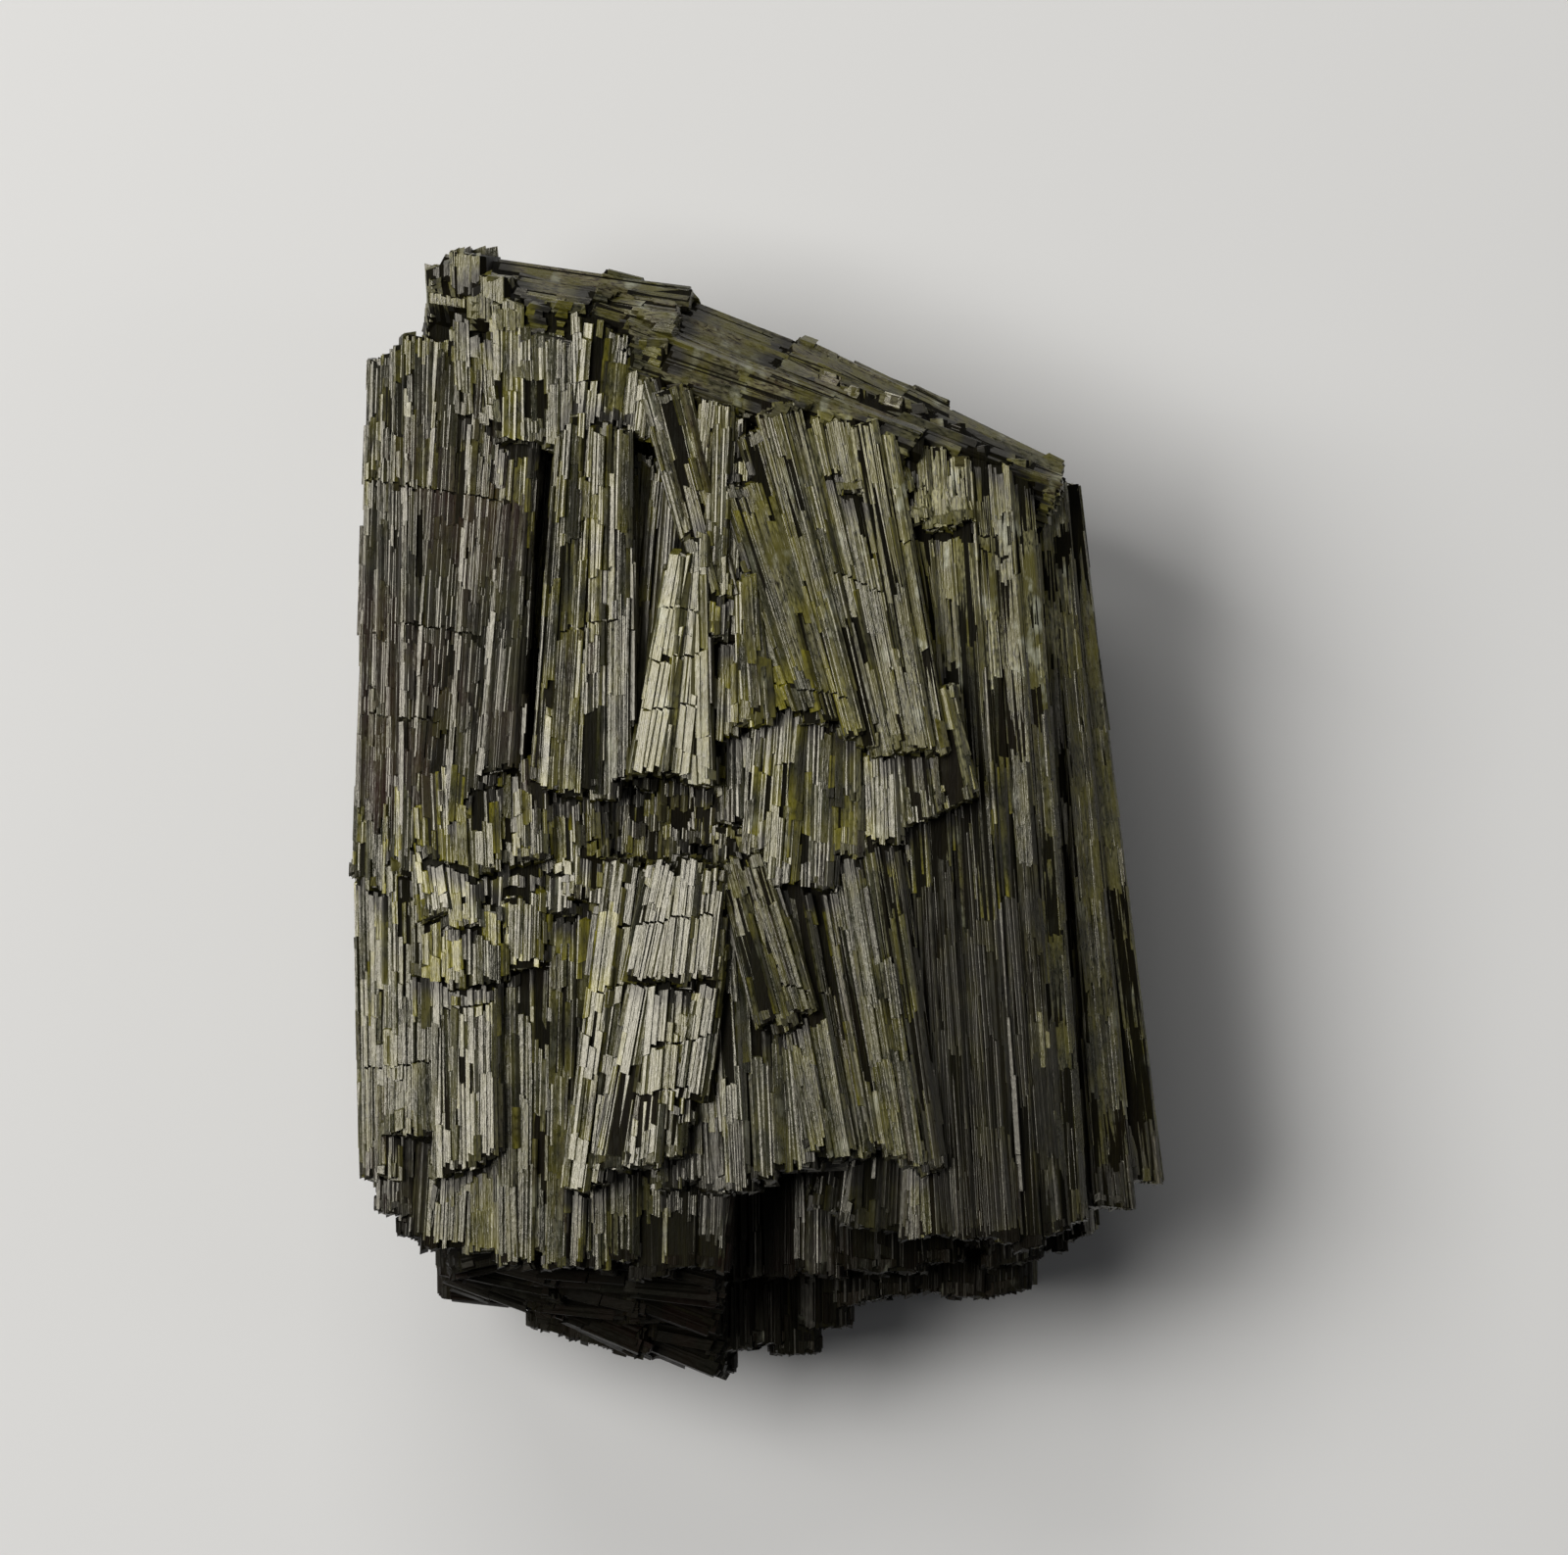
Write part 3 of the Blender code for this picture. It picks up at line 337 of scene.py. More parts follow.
@dataclass(frozen=True)
class PatternCutter:
    """Makes lath patterns with modelling operators.

    Args:
        half_reach: Half the length of the uncut block, in widths.
        trim: How much of the block goes at each end, in widths.
        half_side: A place across that only the block's two long sides lie beyond.
        ribs: The fewest and the most grooves along a ribbed top.
        rib_step: Narrowest and widest share of the top between two grooves.
        rib_depth: Depth of the deepest groove, in widths.
        shoulder: Least and greatest drop of a ribbed top's outer edges, in widths.
        chamfer: Narrowest and widest bevel along a smooth top, in widths.
        least_tilt: Slope of the most overhanging broken end, in degrees.
        end_tilt: Steepest slope of a broken end, in degrees.
        foot_tilt: Steepest slope of a long lath's foot, in degrees.
        end_skew: Largest turn of a broken end sideways, in degrees.
    """

    half_reach: float = 6.0
    trim: float = 2.0
    half_side: float = 0.499
    ribs: tuple[int, int] = (3, 5)
    rib_step: Point = (0.6, 1.4)
    rib_depth: float = 0.15
    shoulder: Point = (0.02, 0.16)
    chamfer: Point = (0.04, 0.12)
    least_tilt: float = -10.0
    end_tilt: float = 38.0
    foot_tilt: float = 12.0
    end_skew: float = 24.0

    def cut(self, surface: Surface, rng: np.random.Generator) -> LathPattern:
        """Makes one pattern.

        Args:
            surface: The kind of top.
            rng: The source of chance.

        Returns:
            The pattern.
        """
        work = bmesh.new()
        bmesh.ops.create_cube(work, size=1.0)
        bmesh.ops.scale(work, vec=(1.0, 2.0 * self.half_reach, 1.0), verts=work.verts)
        if surface is Surface.RIBBED:
            self._groove(work, rng)
        else:
            self._chamfer(work, rng)
        for toward in (1.0, -1.0):
            self._break_end(work, toward, surface, rng)
        bmesh.ops.recalc_face_normals(work, faces=work.faces)
        pattern = self._store(work)
        work.free()
        return pattern

    def _groove(self, work: bmesh.types.BMesh, rng: np.random.Generator) -> None:
        """Cuts lines along the top and sinks them by uneven amounts.

        Args:
            work: The block.
            rng: The source of chance.
        """
        count = int(rng.integers(self.ribs[0], self.ribs[1] + 1))
        steps = rng.uniform(*self.rib_step, count + 1)
        places = np.cumsum(steps)[:-1] / steps.sum() - 0.5
        for place in places:
            bmesh.ops.bisect_plane(work, geom=self._parts(work), plane_co=(place, 0.0, 0.0),
                                   plane_no=(1.0, 0.0, 0.0))
        under = [e for e in work.edges
                 if all(v.co.z < 0.0 for v in e.verts)
                 and abs(e.verts[0].co.x - e.verts[1].co.x) < CLOSE
                 and abs(e.verts[0].co.x) < self.half_side]
        bmesh.ops.dissolve_edges(work, edges=under, use_verts=True)
        sinks = {round(float(p), 4): float(rng.uniform(0.0, self.rib_depth)) for p in places}
        left, right = float(rng.uniform(*self.shoulder)), float(rng.uniform(*self.shoulder))
        for vert in work.verts:
            if vert.co.z <= 0.0:
                continue
            if abs(vert.co.x) > self.half_side:
                vert.co.z -= left if vert.co.x < 0.0 else right
            else:
                vert.co.z -= sinks[min(sinks, key=lambda p: abs(p - vert.co.x))]

    def _chamfer(self, work: bmesh.types.BMesh, rng: np.random.Generator) -> None:
        """Bevels the two long edges of a smooth top.

        Args:
            work: The block.
            rng: The source of chance.
        """
        edges = [e for e in work.edges
                 if all(v.co.z > 0.0 for v in e.verts)
                 and abs(e.verts[0].co.y - e.verts[1].co.y) > self.half_reach]
        bmesh.ops.bevel(work, geom=edges, offset=float(rng.uniform(*self.chamfer)), segments=1,
                        profile=0.5, affect="EDGES", material=-1)

    def _break_end(self, work: bmesh.types.BMesh, toward: float, surface: Surface,
                   rng: np.random.Generator) -> None:
        """Cuts one end off along a sloping plane and closes it.

        Args:
            work: The block.
            toward: 1 for the head end, -1 for the foot end.
            surface: The kind of top.
            rng: The source of chance.
        """
        rough = toward > 0.0 or surface is Surface.STUB
        steepest = self.end_tilt if rough else self.foot_tilt
        tilt = math.radians(float(rng.uniform(self.least_tilt, steepest)))
        skew = math.radians(float(rng.uniform(-self.end_skew, self.end_skew)))
        slope = Vector((math.sin(skew), toward * math.cos(skew), math.tan(tilt))).normalized()
        end = toward * (self.half_reach - self.trim)
        cut = bmesh.ops.bisect_plane(work, geom=self._parts(work), plane_no=slope,
                                     clear_outer=True, plane_co=(0.0, end, 0.5))
        rim = [part for part in cut["geom_cut"] if isinstance(part, bmesh.types.BMEdge)]
        bmesh.ops.edgeloop_fill(work, edges=rim)

    @staticmethod
    def _parts(work: bmesh.types.BMesh) -> list:
        """Gives all corners, edges and faces of the block."""
        return list(work.verts) + list(work.edges) + list(work.faces)

    def _store(self, work: bmesh.types.BMesh) -> LathPattern:
        """Turns the finished block into arrays.

        Args:
            work: The block.

        Returns:
            The pattern.
        """
        work.verts.index_update()
        places = np.array([v.co[:] for v in work.verts])
        head = places[:, 1] > 0.0
        reach = self.half_reach - self.trim
        top = places[:, 2] > 0.0
        loops = [v.index for f in work.faces for v in f.verts]
        counts = [len(f.verts) for f in work.faces]
        return LathPattern(places[:, 0], head, places[:, 1] - np.where(head, reach, -reach),
                           np.where(top, places[:, 2] - 0.5, 0.0), top,
                           np.array(loops, np.int32), np.array(counts, np.int32))


@dataclass
class Facet:
    """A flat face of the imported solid, in millimetres.

    Args:
        corners: The corners in order.
        turns: For each side, how far the surface turns down beyond it, in degrees.
        normal: The outward direction.
        area: The facet's area.
        neighbours: For each side, its length and the number of the facet beyond it.
        axis: The direction that its crystal grew in.
        is_end: Whether the crystal ends at this facet.
    """

    corners: np.ndarray
    turns: list[float]
    normal: np.ndarray
    area: float
    neighbours: list[tuple[float, int]]
    axis: np.ndarray | None = None
    is_end: bool = False

    @property
    def middle(self) -> np.ndarray:
        """The mean of the corners."""
        return self.corners.mean(axis=0)

    def side(self) -> Side:
        """Names the part of the cluster that the facet belongs to.

        Returns:
            The side.
        """
        _, y, z = self.middle
        if y < FOOT_END and z < DEEP_LEVEL and self.normal[2] > BACK_FACING:
            return Side.FOOT
        if self.is_end:
            return Side.ENDS
        if self.normal[2] > FRONT_FACING:
            return Side.FRONT
        return Side.BACK if self.normal[2] < BACK_FACING else Side.FLANK


@dataclass
class FacetReader:
    """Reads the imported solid's faces and works out how each crystal lies.

    Args:
        flatness: Largest angle within one facet, in degrees.
        sure_length: Length from which a side is taken as the crystal's direction.
        upright: Rise of a side from which it isn't taken.
        end_like: A facet facing the head or foot more than the first number, and up less than
            the second, is taken as an end.
        end_facing: Least turn of an end face towards its crystal's direction.
        rounds: How often facets without a direction ask their neighbours.
        head_slant: Weight of +X beside +Y in telling a crystal's head from its foot.
        corner: The right and lower limit of the upright crystals at the head's left corner.
        corner_facing: The least that a facet there faces up, and the most that it faces the head.
    """

    flatness: float = 0.4
    sure_length: float = 2.4
    upright: float = 0.6
    end_like: Point = (0.75, 0.35)
    end_facing: float = 0.55
    rounds: int = 4
    head_slant: float = 0.3
    corner: Point = (-12.4, 23.4)
    corner_facing: Point = (0.3, 0.9)

    def read(self, node: bpy.types.Object) -> list[Facet]:
        """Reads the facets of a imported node.

        Args:
            node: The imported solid.

        Returns:
            The facets, each with its crystal's direction.
        """
        work = bmesh.new()
        work.from_mesh(node.data)
        bmesh.ops.remove_doubles(work, verts=work.verts, dist=MERGE)
        bmesh.ops.dissolve_limit(work, angle_limit=math.radians(self.flatness),
                                 verts=work.verts, edges=work.edges)
        work.faces.index_update()
        facets = [self._facet(face) for face in work.faces]
        work.free()
        for facet in facets:
            self._find_direction(facet)
        for _ in range(self.rounds):
            for facet in facets:
                if facet.axis is None:
                    self._ask_neighbours(facet, facets)
        for facet in facets:
            if facet.axis is None:
                facet.axis = HEADWARDS
                facet.is_end = abs(float(facet.normal[1])) > self.end_facing
            if self._in_corner(facet):
                facet.axis, facet.is_end = HEADWARDS, False
            self._settle(facet)
        return facets

    def _in_corner(self, facet: Facet) -> bool:
        """Tells whether a facet belongs to the upright crystals at the head's left corner.

        Args:
            facet: The facet.

        Returns:
            Whether it does.
        """
        x, y, z = facet.middle
        facing_up, facing_head = self.corner_facing
        return (x < self.corner[0] and y > self.corner[1] and z > HEAD_LEVEL
                and facet.normal[2] > facing_up and abs(facet.normal[1]) < facing_head)

    @staticmethod
    def _facet(face: bmesh.types.BMFace) -> Facet:
        """Copies one face of the merged solid.

        Args:
            face: The face.

        Returns:
            The facet, still without a direction.
        """
        corners = np.array([loop.vert.co[:] for loop in face.loops]) / MM
        turns = [math.degrees(loop.edge.calc_face_angle_signed(0.0)) for loop in face.loops]
        neighbours = [(loop.edge.calc_length() / MM, loop.link_loop_radial_next.face.index)
                      for loop in face.loops]
        return Facet(corners, turns, np.array(face.normal[:]), face.calc_area() / MM ** 2,
                     neighbours)

    def _find_direction(self, facet: Facet) -> None:
        """Takes the longest side as the crystal's direction where that is sure.

        Args:
            facet: The facet, which gets the direction.
        """
        sides = np.roll(facet.corners, -1, axis=0) - facet.corners
        lengths = np.linalg.norm(sides, axis=1)
        longest = int(lengths.argmax())
        along = sides[longest] / max(lengths[longest], TINY)
        ends = (abs(facet.normal[1]) > self.end_like[0] and facet.normal[2] < self.end_like[1])
        if lengths[longest] >= self.sure_length and abs(along[2]) <= self.upright and not ends:
            facet.axis = along

    def _ask_neighbours(self, facet: Facet, facets: list[Facet]) -> None:
        """Takes the direction of the neighbour with the longest shared side.

        Args:
            facet: The facet, which gets the direction.
            facets: All facets.
        """
        for _, index in sorted(facet.neighbours, reverse=True):
            other = facets[index]
            if other.axis is not None and not other.is_end:
                facet.axis = other.axis
                facet.is_end = abs(float(other.axis @ facet.normal)) > self.end_facing
                return

    def _settle(self, facet: Facet) -> None:
        """Lays the direction in the facet's plane and points it to the head end.

        Args:
            facet: The facet, whose direction is changed.
        """
        axis = facet.axis
        if not facet.is_end:
            axis = axis - facet.normal * float(axis @ facet.normal)
        elif float(axis @ facet.normal) < 0.0:
            axis = -axis
        axis = axis / max(float(np.linalg.norm(axis)), TINY)
        if not facet.is_end and axis[1] + self.head_slant * axis[0] < 0.0:
            axis = -axis
        facet.axis = axis


@dataclass
class LathStore:
    """Collects laths as rows of numbers, in millimetres.

    Args:
        rows: One row for each lath: foot, axis, across and normal with three numbers each, then
            length, width, height, depth, pattern, four for the looks and three for the painted
            shade.
    """

    rows: list[tuple] = field(default_factory=list)

    def add(self, foot: np.ndarray, axis: np.ndarray, across: np.ndarray, normal: np.ndarray,
            size: Quad, pattern: int, looks: Quad, shelter_painted_shade: Triple) -> None:
        """Adds a lath.

        Args:
            foot: The middle of its foot, on the facet.
            axis: Its direction from foot to head.
            across: The direction of its width.
            normal: The direction of its height.
            size: Its length, its width, the stand of its crest over the facet, and how far it
                reaches into the solid.
            pattern: The number of its pattern.
            looks: Its tone, warmth, dullness and glow.
            shelter_painted_shade: Whether its foot and its head meet a wall, and how sheltered it
                lies, which set its painted shade.
        """
        self.rows.append((*foot, *axis, *across, *normal, *size, pattern, *looks, *shelter_painted_shade))


@dataclass
class Bundle:
    """Turns stored laths into one mesh piece.

    Args:
        name: The piece's name.
        patterns: The patterns that the laths use.
        material: The finish.
        grain_spread: Largest offset of a lath's fine grain.
        grain_fold: How fast the grain runs down a lath's sides, beside its top.
    """

    name: str
    patterns: list[LathPattern]
    material: bpy.types.Material
    grain_spread: float = 60.0
    grain_fold: float = 0.8

    def build(self, store: LathStore, rng: np.random.Generator) -> bpy.types.Object:
        """Builds the mesh of all laths in the store.

        Args:
            store: The laths.
            rng: The source of chance for the offsets of the fine grain.

        Returns:
            The piece's object, at the origin.
        """
        rows = np.array(store.rows)
        kinds = rows[:, PATTERN_COLUMN].astype(int)
        made = {name: [] for name in ("places", "loops", "counts", "grain", "ends", "habit",
                                      "shelter_painted_shade")}
        base = 0
        for kind in np.unique(kinds):
            pattern = self.patterns[kind]
            part = rows[kinds == kind]
            number, size = len(part), len(pattern.across)
            places, grain, ends = self._lay(part, pattern)
            first = base + np.arange(number)[:, None] * size
            shift = rng.uniform(0.0, self.grain_spread, (number, 1, 2))
            made["places"].append(places.reshape(-1, 3))
            made["loops"].append((pattern.loops[None, :] + first).ravel())
            made["counts"].append(np.tile(pattern.counts, number))
            made["grain"].append((grain + shift)[:, pattern.loops].reshape(-1, 2))
            made["ends"].append(ends[:, pattern.loops].reshape(-1, 2))
            looks = np.repeat(part[:, None, LOOKS_COLUMNS], len(pattern.loops), axis=1)
            made["habit"].append(looks.reshape(-1, 4))
            shelter_painted_shade = np.repeat(part[:, None, PAINTED_SHADE_COLUMNS], len(pattern.loops), axis=1)
            made["shelter_painted_shade"].append(np.insert(shelter_painted_shade.reshape(-1, 3), 3, 1.0, axis=1))
            base += number * size
        return self._object({name: np.concatenate(parts) for name, parts in made.items()})

    def _lay(self, part: np.ndarray,
             pattern: LathPattern) -> tuple[np.ndarray, np.ndarray, np.ndarray]:
        """Places every corner of the laths that share a pattern.

        Args:
            part: The laths' rows.
            pattern: Their pattern.

        Returns:
            The corners' places, their places on the grain and their distances from both ends.
        """
        foot, axis, across, normal = (part[:, None, i:i + 3] for i in (0, 3, 6, 9))
        length, width, height, depth = (part[:, i, None] for i in SIZE_COLUMNS)
        along = np.where(pattern.head, length, 0.0) + pattern.overrun * width
        along = np.where(pattern.head, np.maximum(along, length * 0.5),
                         np.minimum(along, length * 0.5))
        over = np.where(pattern.top, height + pattern.up * width, -depth)
        wide = pattern.across * width
        places = (foot + axis * along[:, :, None] + across * wide[:, :, None]
                  + normal * over[:, :, None])
        grain = np.stack((along, wide + self.grain_fold * over), axis=2)
        return places, grain, np.stack((length - along, along), axis=2)

    def _object(self, made: dict[str, np.ndarray]) -> bpy.types.Object:
        """Makes the mesh object with its maps and its tints.

        Args:
            made: The places, the faces' corners and counts, the two maps, and the two colour
                attributes of the looks and of the painted shade.

        Returns:
            The object.
        """
        places = made["places"] * MM
        places[:, 2] = np.maximum(places[:, 2], 0.0)
        mesh = bpy.data.meshes.new(self.name)
        mesh.vertices.add(len(places))
        mesh.vertices.foreach_set("co", places.ravel().astype(np.float32))
        mesh.loops.add(len(made["loops"]))
        mesh.loops.foreach_set("vertex_index", made["loops"].astype(np.int32))
        mesh.polygons.add(len(made["counts"]))
        starts = np.concatenate(([0], np.cumsum(made["counts"])[:-1])).astype(np.int32)
        mesh.polygons.foreach_set("loop_start", starts)
        mesh.update(calc_edges=True)
        mesh.validate(clean_customdata=False)
        mesh.shade_flat()
        for name in ("grain", "ends"):
            layer = mesh.uv_layers.new(name=name)
            layer.uv.foreach_set("vector", made[name].ravel().astype(np.float32))
        for name in ("habit", "shelter_painted_shade"):
            colour = mesh.color_attributes.new(name, "FLOAT_COLOR", "CORNER")
            colour.data.foreach_set("color", made[name].ravel().astype(np.float32))
        mesh.materials.append(self.material)
        piece = bpy.data.objects.new(self.name, mesh)
        bpy.context.scene.collection.objects.link(piece)
        return piece


@dataclass(frozen=True)
class BundleRun:
    """Where a bundle of laths breaks, and how each stretch between two breaks stands.

    Args:
        stops: The places of the breaks along the crystal.
        heights: Each stretch's height over the facet.
        rolls: Each stretch's turn about its length, in degrees.
        tones: Each stretch's change of tone.
        glows: Each stretch's share of its zone's glow.
    """

    stops: np.ndarray
    heights: np.ndarray
    rolls: np.ndarray
    tones: np.ndarray
    glows: np.ndarray


@dataclass(frozen=True)
class Row:
    """A row of laths along a facet.

    Args:
        side: The part of the cluster that the facet belongs to.
        start: Where the row's middle line passes the facet's middle.
        across: The direction of the laths' width.
        width: The laths' width.
    """

    side: Side
    start: np.ndarray
    across: np.ndarray
    width: float


@dataclass(frozen=True)
class Unevenness:
    """How much laths differ, in millimetres, degrees and shares of their habit's own values.

    Args:
        zone_edge: Spread of the places at which the habit is read.
        facet_lean: Spread of a facet's lean, in shares of the roll.
        bundle_roll: Spread of a bundle's roll, in shares of the roll.
        lath_roll: Spread of a lath's own roll, in shares of the roll.
        lath_height: Spread of a lath's own height, in shares of the relief's range.
        stretch: Shortest and longest stretch between two breaks, in shares of the length.
        bundle_tone: Spread of a bundle's tone.
        bundle_glow: Least and greatest share of the glow.
        narrow: The two numbers of the beta distribution that makes narrow laths common.
        step: Least and greatest step from lath to lath, in widths.
        break_spread: Spread of the places where a bundle's laths break, in shares of the length.
        most_break_spread: The most that this spread comes to.
        crack_spread: Spread of the places where laths break at a cross crack.
        overshoot: Farthest that a lath passes a free end, in shares of its jut.
        wall_miss: Farthest that a lath stops short of a wall.
        yaw: Spread of a lath's turn within its facet.
        pitch: Spread of a lath's rise out of its facet.
        looks: Spread of a lath's tone, warmth and dullness.
    """

    zone_edge: float = 0.35
    facet_lean: float = 0.85
    bundle_roll: float = 0.45
    lath_roll: float = 0.15
    lath_height: float = 0.1
    stretch: Point = (0.35, 1.65)
    bundle_tone: float = 0.14
    bundle_glow: Point = (-0.6, 1.1)
    narrow: Point = (1.2, 2.4)
    step: Point = (0.8, 0.98)
    break_spread: float = 0.12
    most_break_spread: float = 0.35
    crack_spread: float = 0.07
    overshoot: float = 0.3
    wall_miss: float = 0.55
    yaw: float = 0.6
    pitch: float = 0.4
    looks: Triple = (0.1, 0.15, 0.12)


@dataclass(frozen=True)
class StubHabit:
    """How the broken stubs stand on the ends of crystals, in millimetres and degrees.

    Args:
        width: Narrowest and widest stub.
        jut: Lowest and highest stand of a stub over its facet.
        flatness: A stub's usual height across, in shares of its width.
        row_step: Step from row to row, in stub heights.
        place_step: Step from stub to stub, in widths.
        overlap: A stub's width, in shares of its place's.
        root: How far a stub reaches into the solid.
        roll: The middle and the spread of the turn about a stub's length.
        tone: How much darker than its zone a stub is, as a negative number: painted shade on the
            crystals' ends.
        glow: Least and greatest share of the glow.
        shelter_painted_shade: The sheltering that every stub has beside its zone's, which paints
            shade on the crystals' ends.
        least_level: How level a crystal lies, from 0 to 1, before its stubs stand in rows
            along the ground.
        least_facing: Least part of the facet's direction along the crystal that counts.
    """

    width: Point = (0.15, 0.42)
    jut: Point = (-0.3, 0.1)
    flatness: float = 0.9
    row_step: float = 0.9
    place_step: float = 0.92
    overlap: float = 1.05
    root: float = 0.6
    roll: Point = (3.0, 5.0)
    tone: float = -0.2
    glow: Point = (-0.5, 0.8)
    shelter_painted_shade: float = 0.5
    least_level: float = 0.3
    least_facing: float = 0.2


@dataclass(frozen=True)
class SkySearch:
    """Finds how much of the sky near crystals hide from a point.

    Args:
        solid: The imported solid, in millimetres.
        reach: How far the search goes.
        lift: How far over the surface it starts.
        rings: For each ring of rays, its tilt from the surface's direction, in radians, and its
            number of rays.
    """

    solid: BVHTree
    reach: float = 3.2
    lift: float = 0.35
    rings: tuple[tuple[float, int], ...] = ((0.6, 4), (1.15, 8))

    def hidden(self, place: np.ndarray, normal: np.ndarray) -> float:
        """Gives the share of the sky over a point that near crystals hide.

        Args:
            place: The point, in millimetres.
            normal: The surface's direction there.

        Returns:
            The hidden share, from 0 to 1.
        """
        up = Vector(normal)
        turn = up.to_track_quat("Z", "Y")
        origin = Vector(place) + up * self.lift
        hits = [self.solid.ray_cast(origin, turn @ ray, self.reach)[0] is not None
                for ray in self.rays()]
        return sum(hits) / len(hits)

    def rays(self) -> list[Vector]:
        """Spreads the search's rays over the sky.

        Returns:
            The rays' directions, with +Z as the surface's.
        """
        return [Vector((math.sin(tilt) * math.cos(turn), math.sin(tilt) * math.sin(turn),
                        math.cos(tilt)))
                for tilt, count in self.rings
                for turn in (math.tau * k / count for k in range(count))]


@dataclass
class Cladding:
    """Lays laths over facets and stubs over broken ends.

    Args:
        numbers: The numbers of the patterns of each kind.
        sky: The search for hiding crystals.
        rng: The source of chance.
        uneven: How much laths differ.
        stub: How stubs stand.
        free_turn: Turn beyond an edge, in degrees, from which an end counts as free.
        wall_turn: Turn up beyond an edge, in degrees, from which it counts as a wall.
        under_rise: How far a lath runs in under a slight rise.
        under_level: How far a lath runs on past a level edge.
        crack_gap: The gap at a cross crack.
        steepest: Largest turn of a bundle out of its facet, in degrees.
        valley_turn: Turn of the laths that lie hidden among others, in degrees.
        valley_glow: How much brighter their thin ends glow.
        valley_painted_shade: How much painted shade lowers their tone.
        depth: How far laths reach into the solid.
        overlap: A lath's width, in shares of its place's.
        small_area: Area under which a facet stays bare.
        band_factor: How many times larger that area is on the band along the head.
        least_span: Narrowest facet that gets laths.
        run_margin: How far a bundle's breaks go on past the facet at both ends.
        edge_inset: Least distance of a lath's middle from the facet's far side.
        least_length: Shortest lath worth laying.
        least_shape: Shortest lath worth laying, in its own widths.
        end_slope: Least slope across the crystal, beside that along it, of a side that ends laths.
    """

    numbers: dict[Surface, list[int]]
    sky: SkySearch
    rng: np.random.Generator
    uneven: Unevenness = Unevenness()
    stub: StubHabit = StubHabit()
    free_turn: float = 22.0
    wall_turn: float = 35.0
    under_rise: float = 0.2
    under_level: float = 0.08
    crack_gap: float = 0.12
    steepest: float = 17.0
    valley_turn: float = 20.0
    valley_glow: float = 1.2
    valley_painted_shade: float = -0.5
    depth: float = 0.5
    overlap: float = 1.08
    small_area: float = 0.12
    band_factor: float = 3.0
    least_span: float = 0.08
    run_margin: float = 1.0
    edge_inset: float = 0.02
    least_length: float = 0.35
    least_shape: float = 0.8
    end_slope: float = 0.6

    def habit_at(self, place: np.ndarray, side: Side) -> Habit:
        """Finds how laths grow at a point.

        Args:
            place: The point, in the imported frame's millimetres.
            side: The part of the cluster.

        Returns:
            The habit there.
        """
        if side in (Side.BACK, Side.FOOT):
            return BACK_HABIT if side is Side.BACK else FOOT_HABIT
        x, y = place[0] - LAYOUT_SHIFT[0], place[1] - LAYOUT_SHIFT[1]
        if side is Side.FLANK and place[2] < FLANK_LEVEL:
            return FLANK_HABIT
        if y < DEEP_END and place[2] < DEEP_LEVEL:
            return DEEP_HABIT
        jitter = self.rng.normal(0.0, self.uneven.zone_edge, 2)
        for zone in FRONT_ZONES:
            if zone.holds(x + jitter[0], y + jitter[1]):
                return zone.habit
        return PLAIN_FRONT if side is not Side.FLANK else FLANK_HABIT

    def clad(self, facet: Facet, store: LathStore) -> None:
        """Covers one facet.

        Args:
            facet: The facet.
            store: Where the laths are kept.
        """
        resting = (facet.normal[2] < RESTING_FACING
                   and facet.corners[:, 2].max() < RESTING_REACH)
        on_band = self._on_top_band(facet)
        if facet.area < self.small_area * (self.band_factor if on_band else 1.0) or resting:
            return
        if not facet.is_end:
            self._lay_rows(facet, store)
        elif not on_band:
            self._lay_stubs(facet, store)

    @staticmethod
    def _on_top_band(facet: Facet) -> bool:
        """Tells whether a facet is one of the small ends among the sloping top facets.

        Args:
            facet: The facet.

        Returns:
            Whether it is.
        """
        x, y, z = facet.middle
        past_line = y > BAND_START + BAND_SLOPE * x
        in_corner = x < BAND_CORNER[0] and y > BAND_CORNER[1]
        return z > HEAD_LEVEL and (past_line or in_corner)

    def _lay_rows(self, facet: Facet, store: LathStore) -> None:
        """Lays rows of laths side by side across a facet, bundle by bundle.

        Args:
            facet: The facet.
            store: Where the laths are kept.
        """
        side = facet.side()
        across = np.cross(facet.normal, facet.axis)
        middle = facet.middle
        flat = facet.corners - middle
        s, t = flat @ facet.axis, flat @ across
        place, end = float(t.min()), float(t.max())
        if end - place < self.least_span:
            return
        reach = (float(s.min()), float(s.max()))
        lean = float(self.rng.normal(0.0, self.uneven.facet_lean))
        own = math.degrees(math.atan2(across[2], facet.normal[2]))
        bundle_end = place
        run: BundleRun | None = None
        while place < end:
            habit = self.habit_at(middle + across * place, side)
            if run is None or place >= bundle_end:
                pulled = (habit.lean - own) * habit.pull if facet.normal[2] > 0.0 else 0.0
                run = self._bundle_run(habit, reach, pulled + lean * habit.roll)
                bundle_end = place + float(self.rng.uniform(*habit.bundle))
            width = self._width(habit)
            centre = min(place + 0.5 * width, end - self.edge_inset)
            row = Row(side, middle + across * centre, across, width)
            for span, turns in self._spans(s, t, facet.turns, centre):
                self._lay_span(facet, store, row, span, turns, run)
            place += width * float(self.rng.uniform(*self.uneven.step))

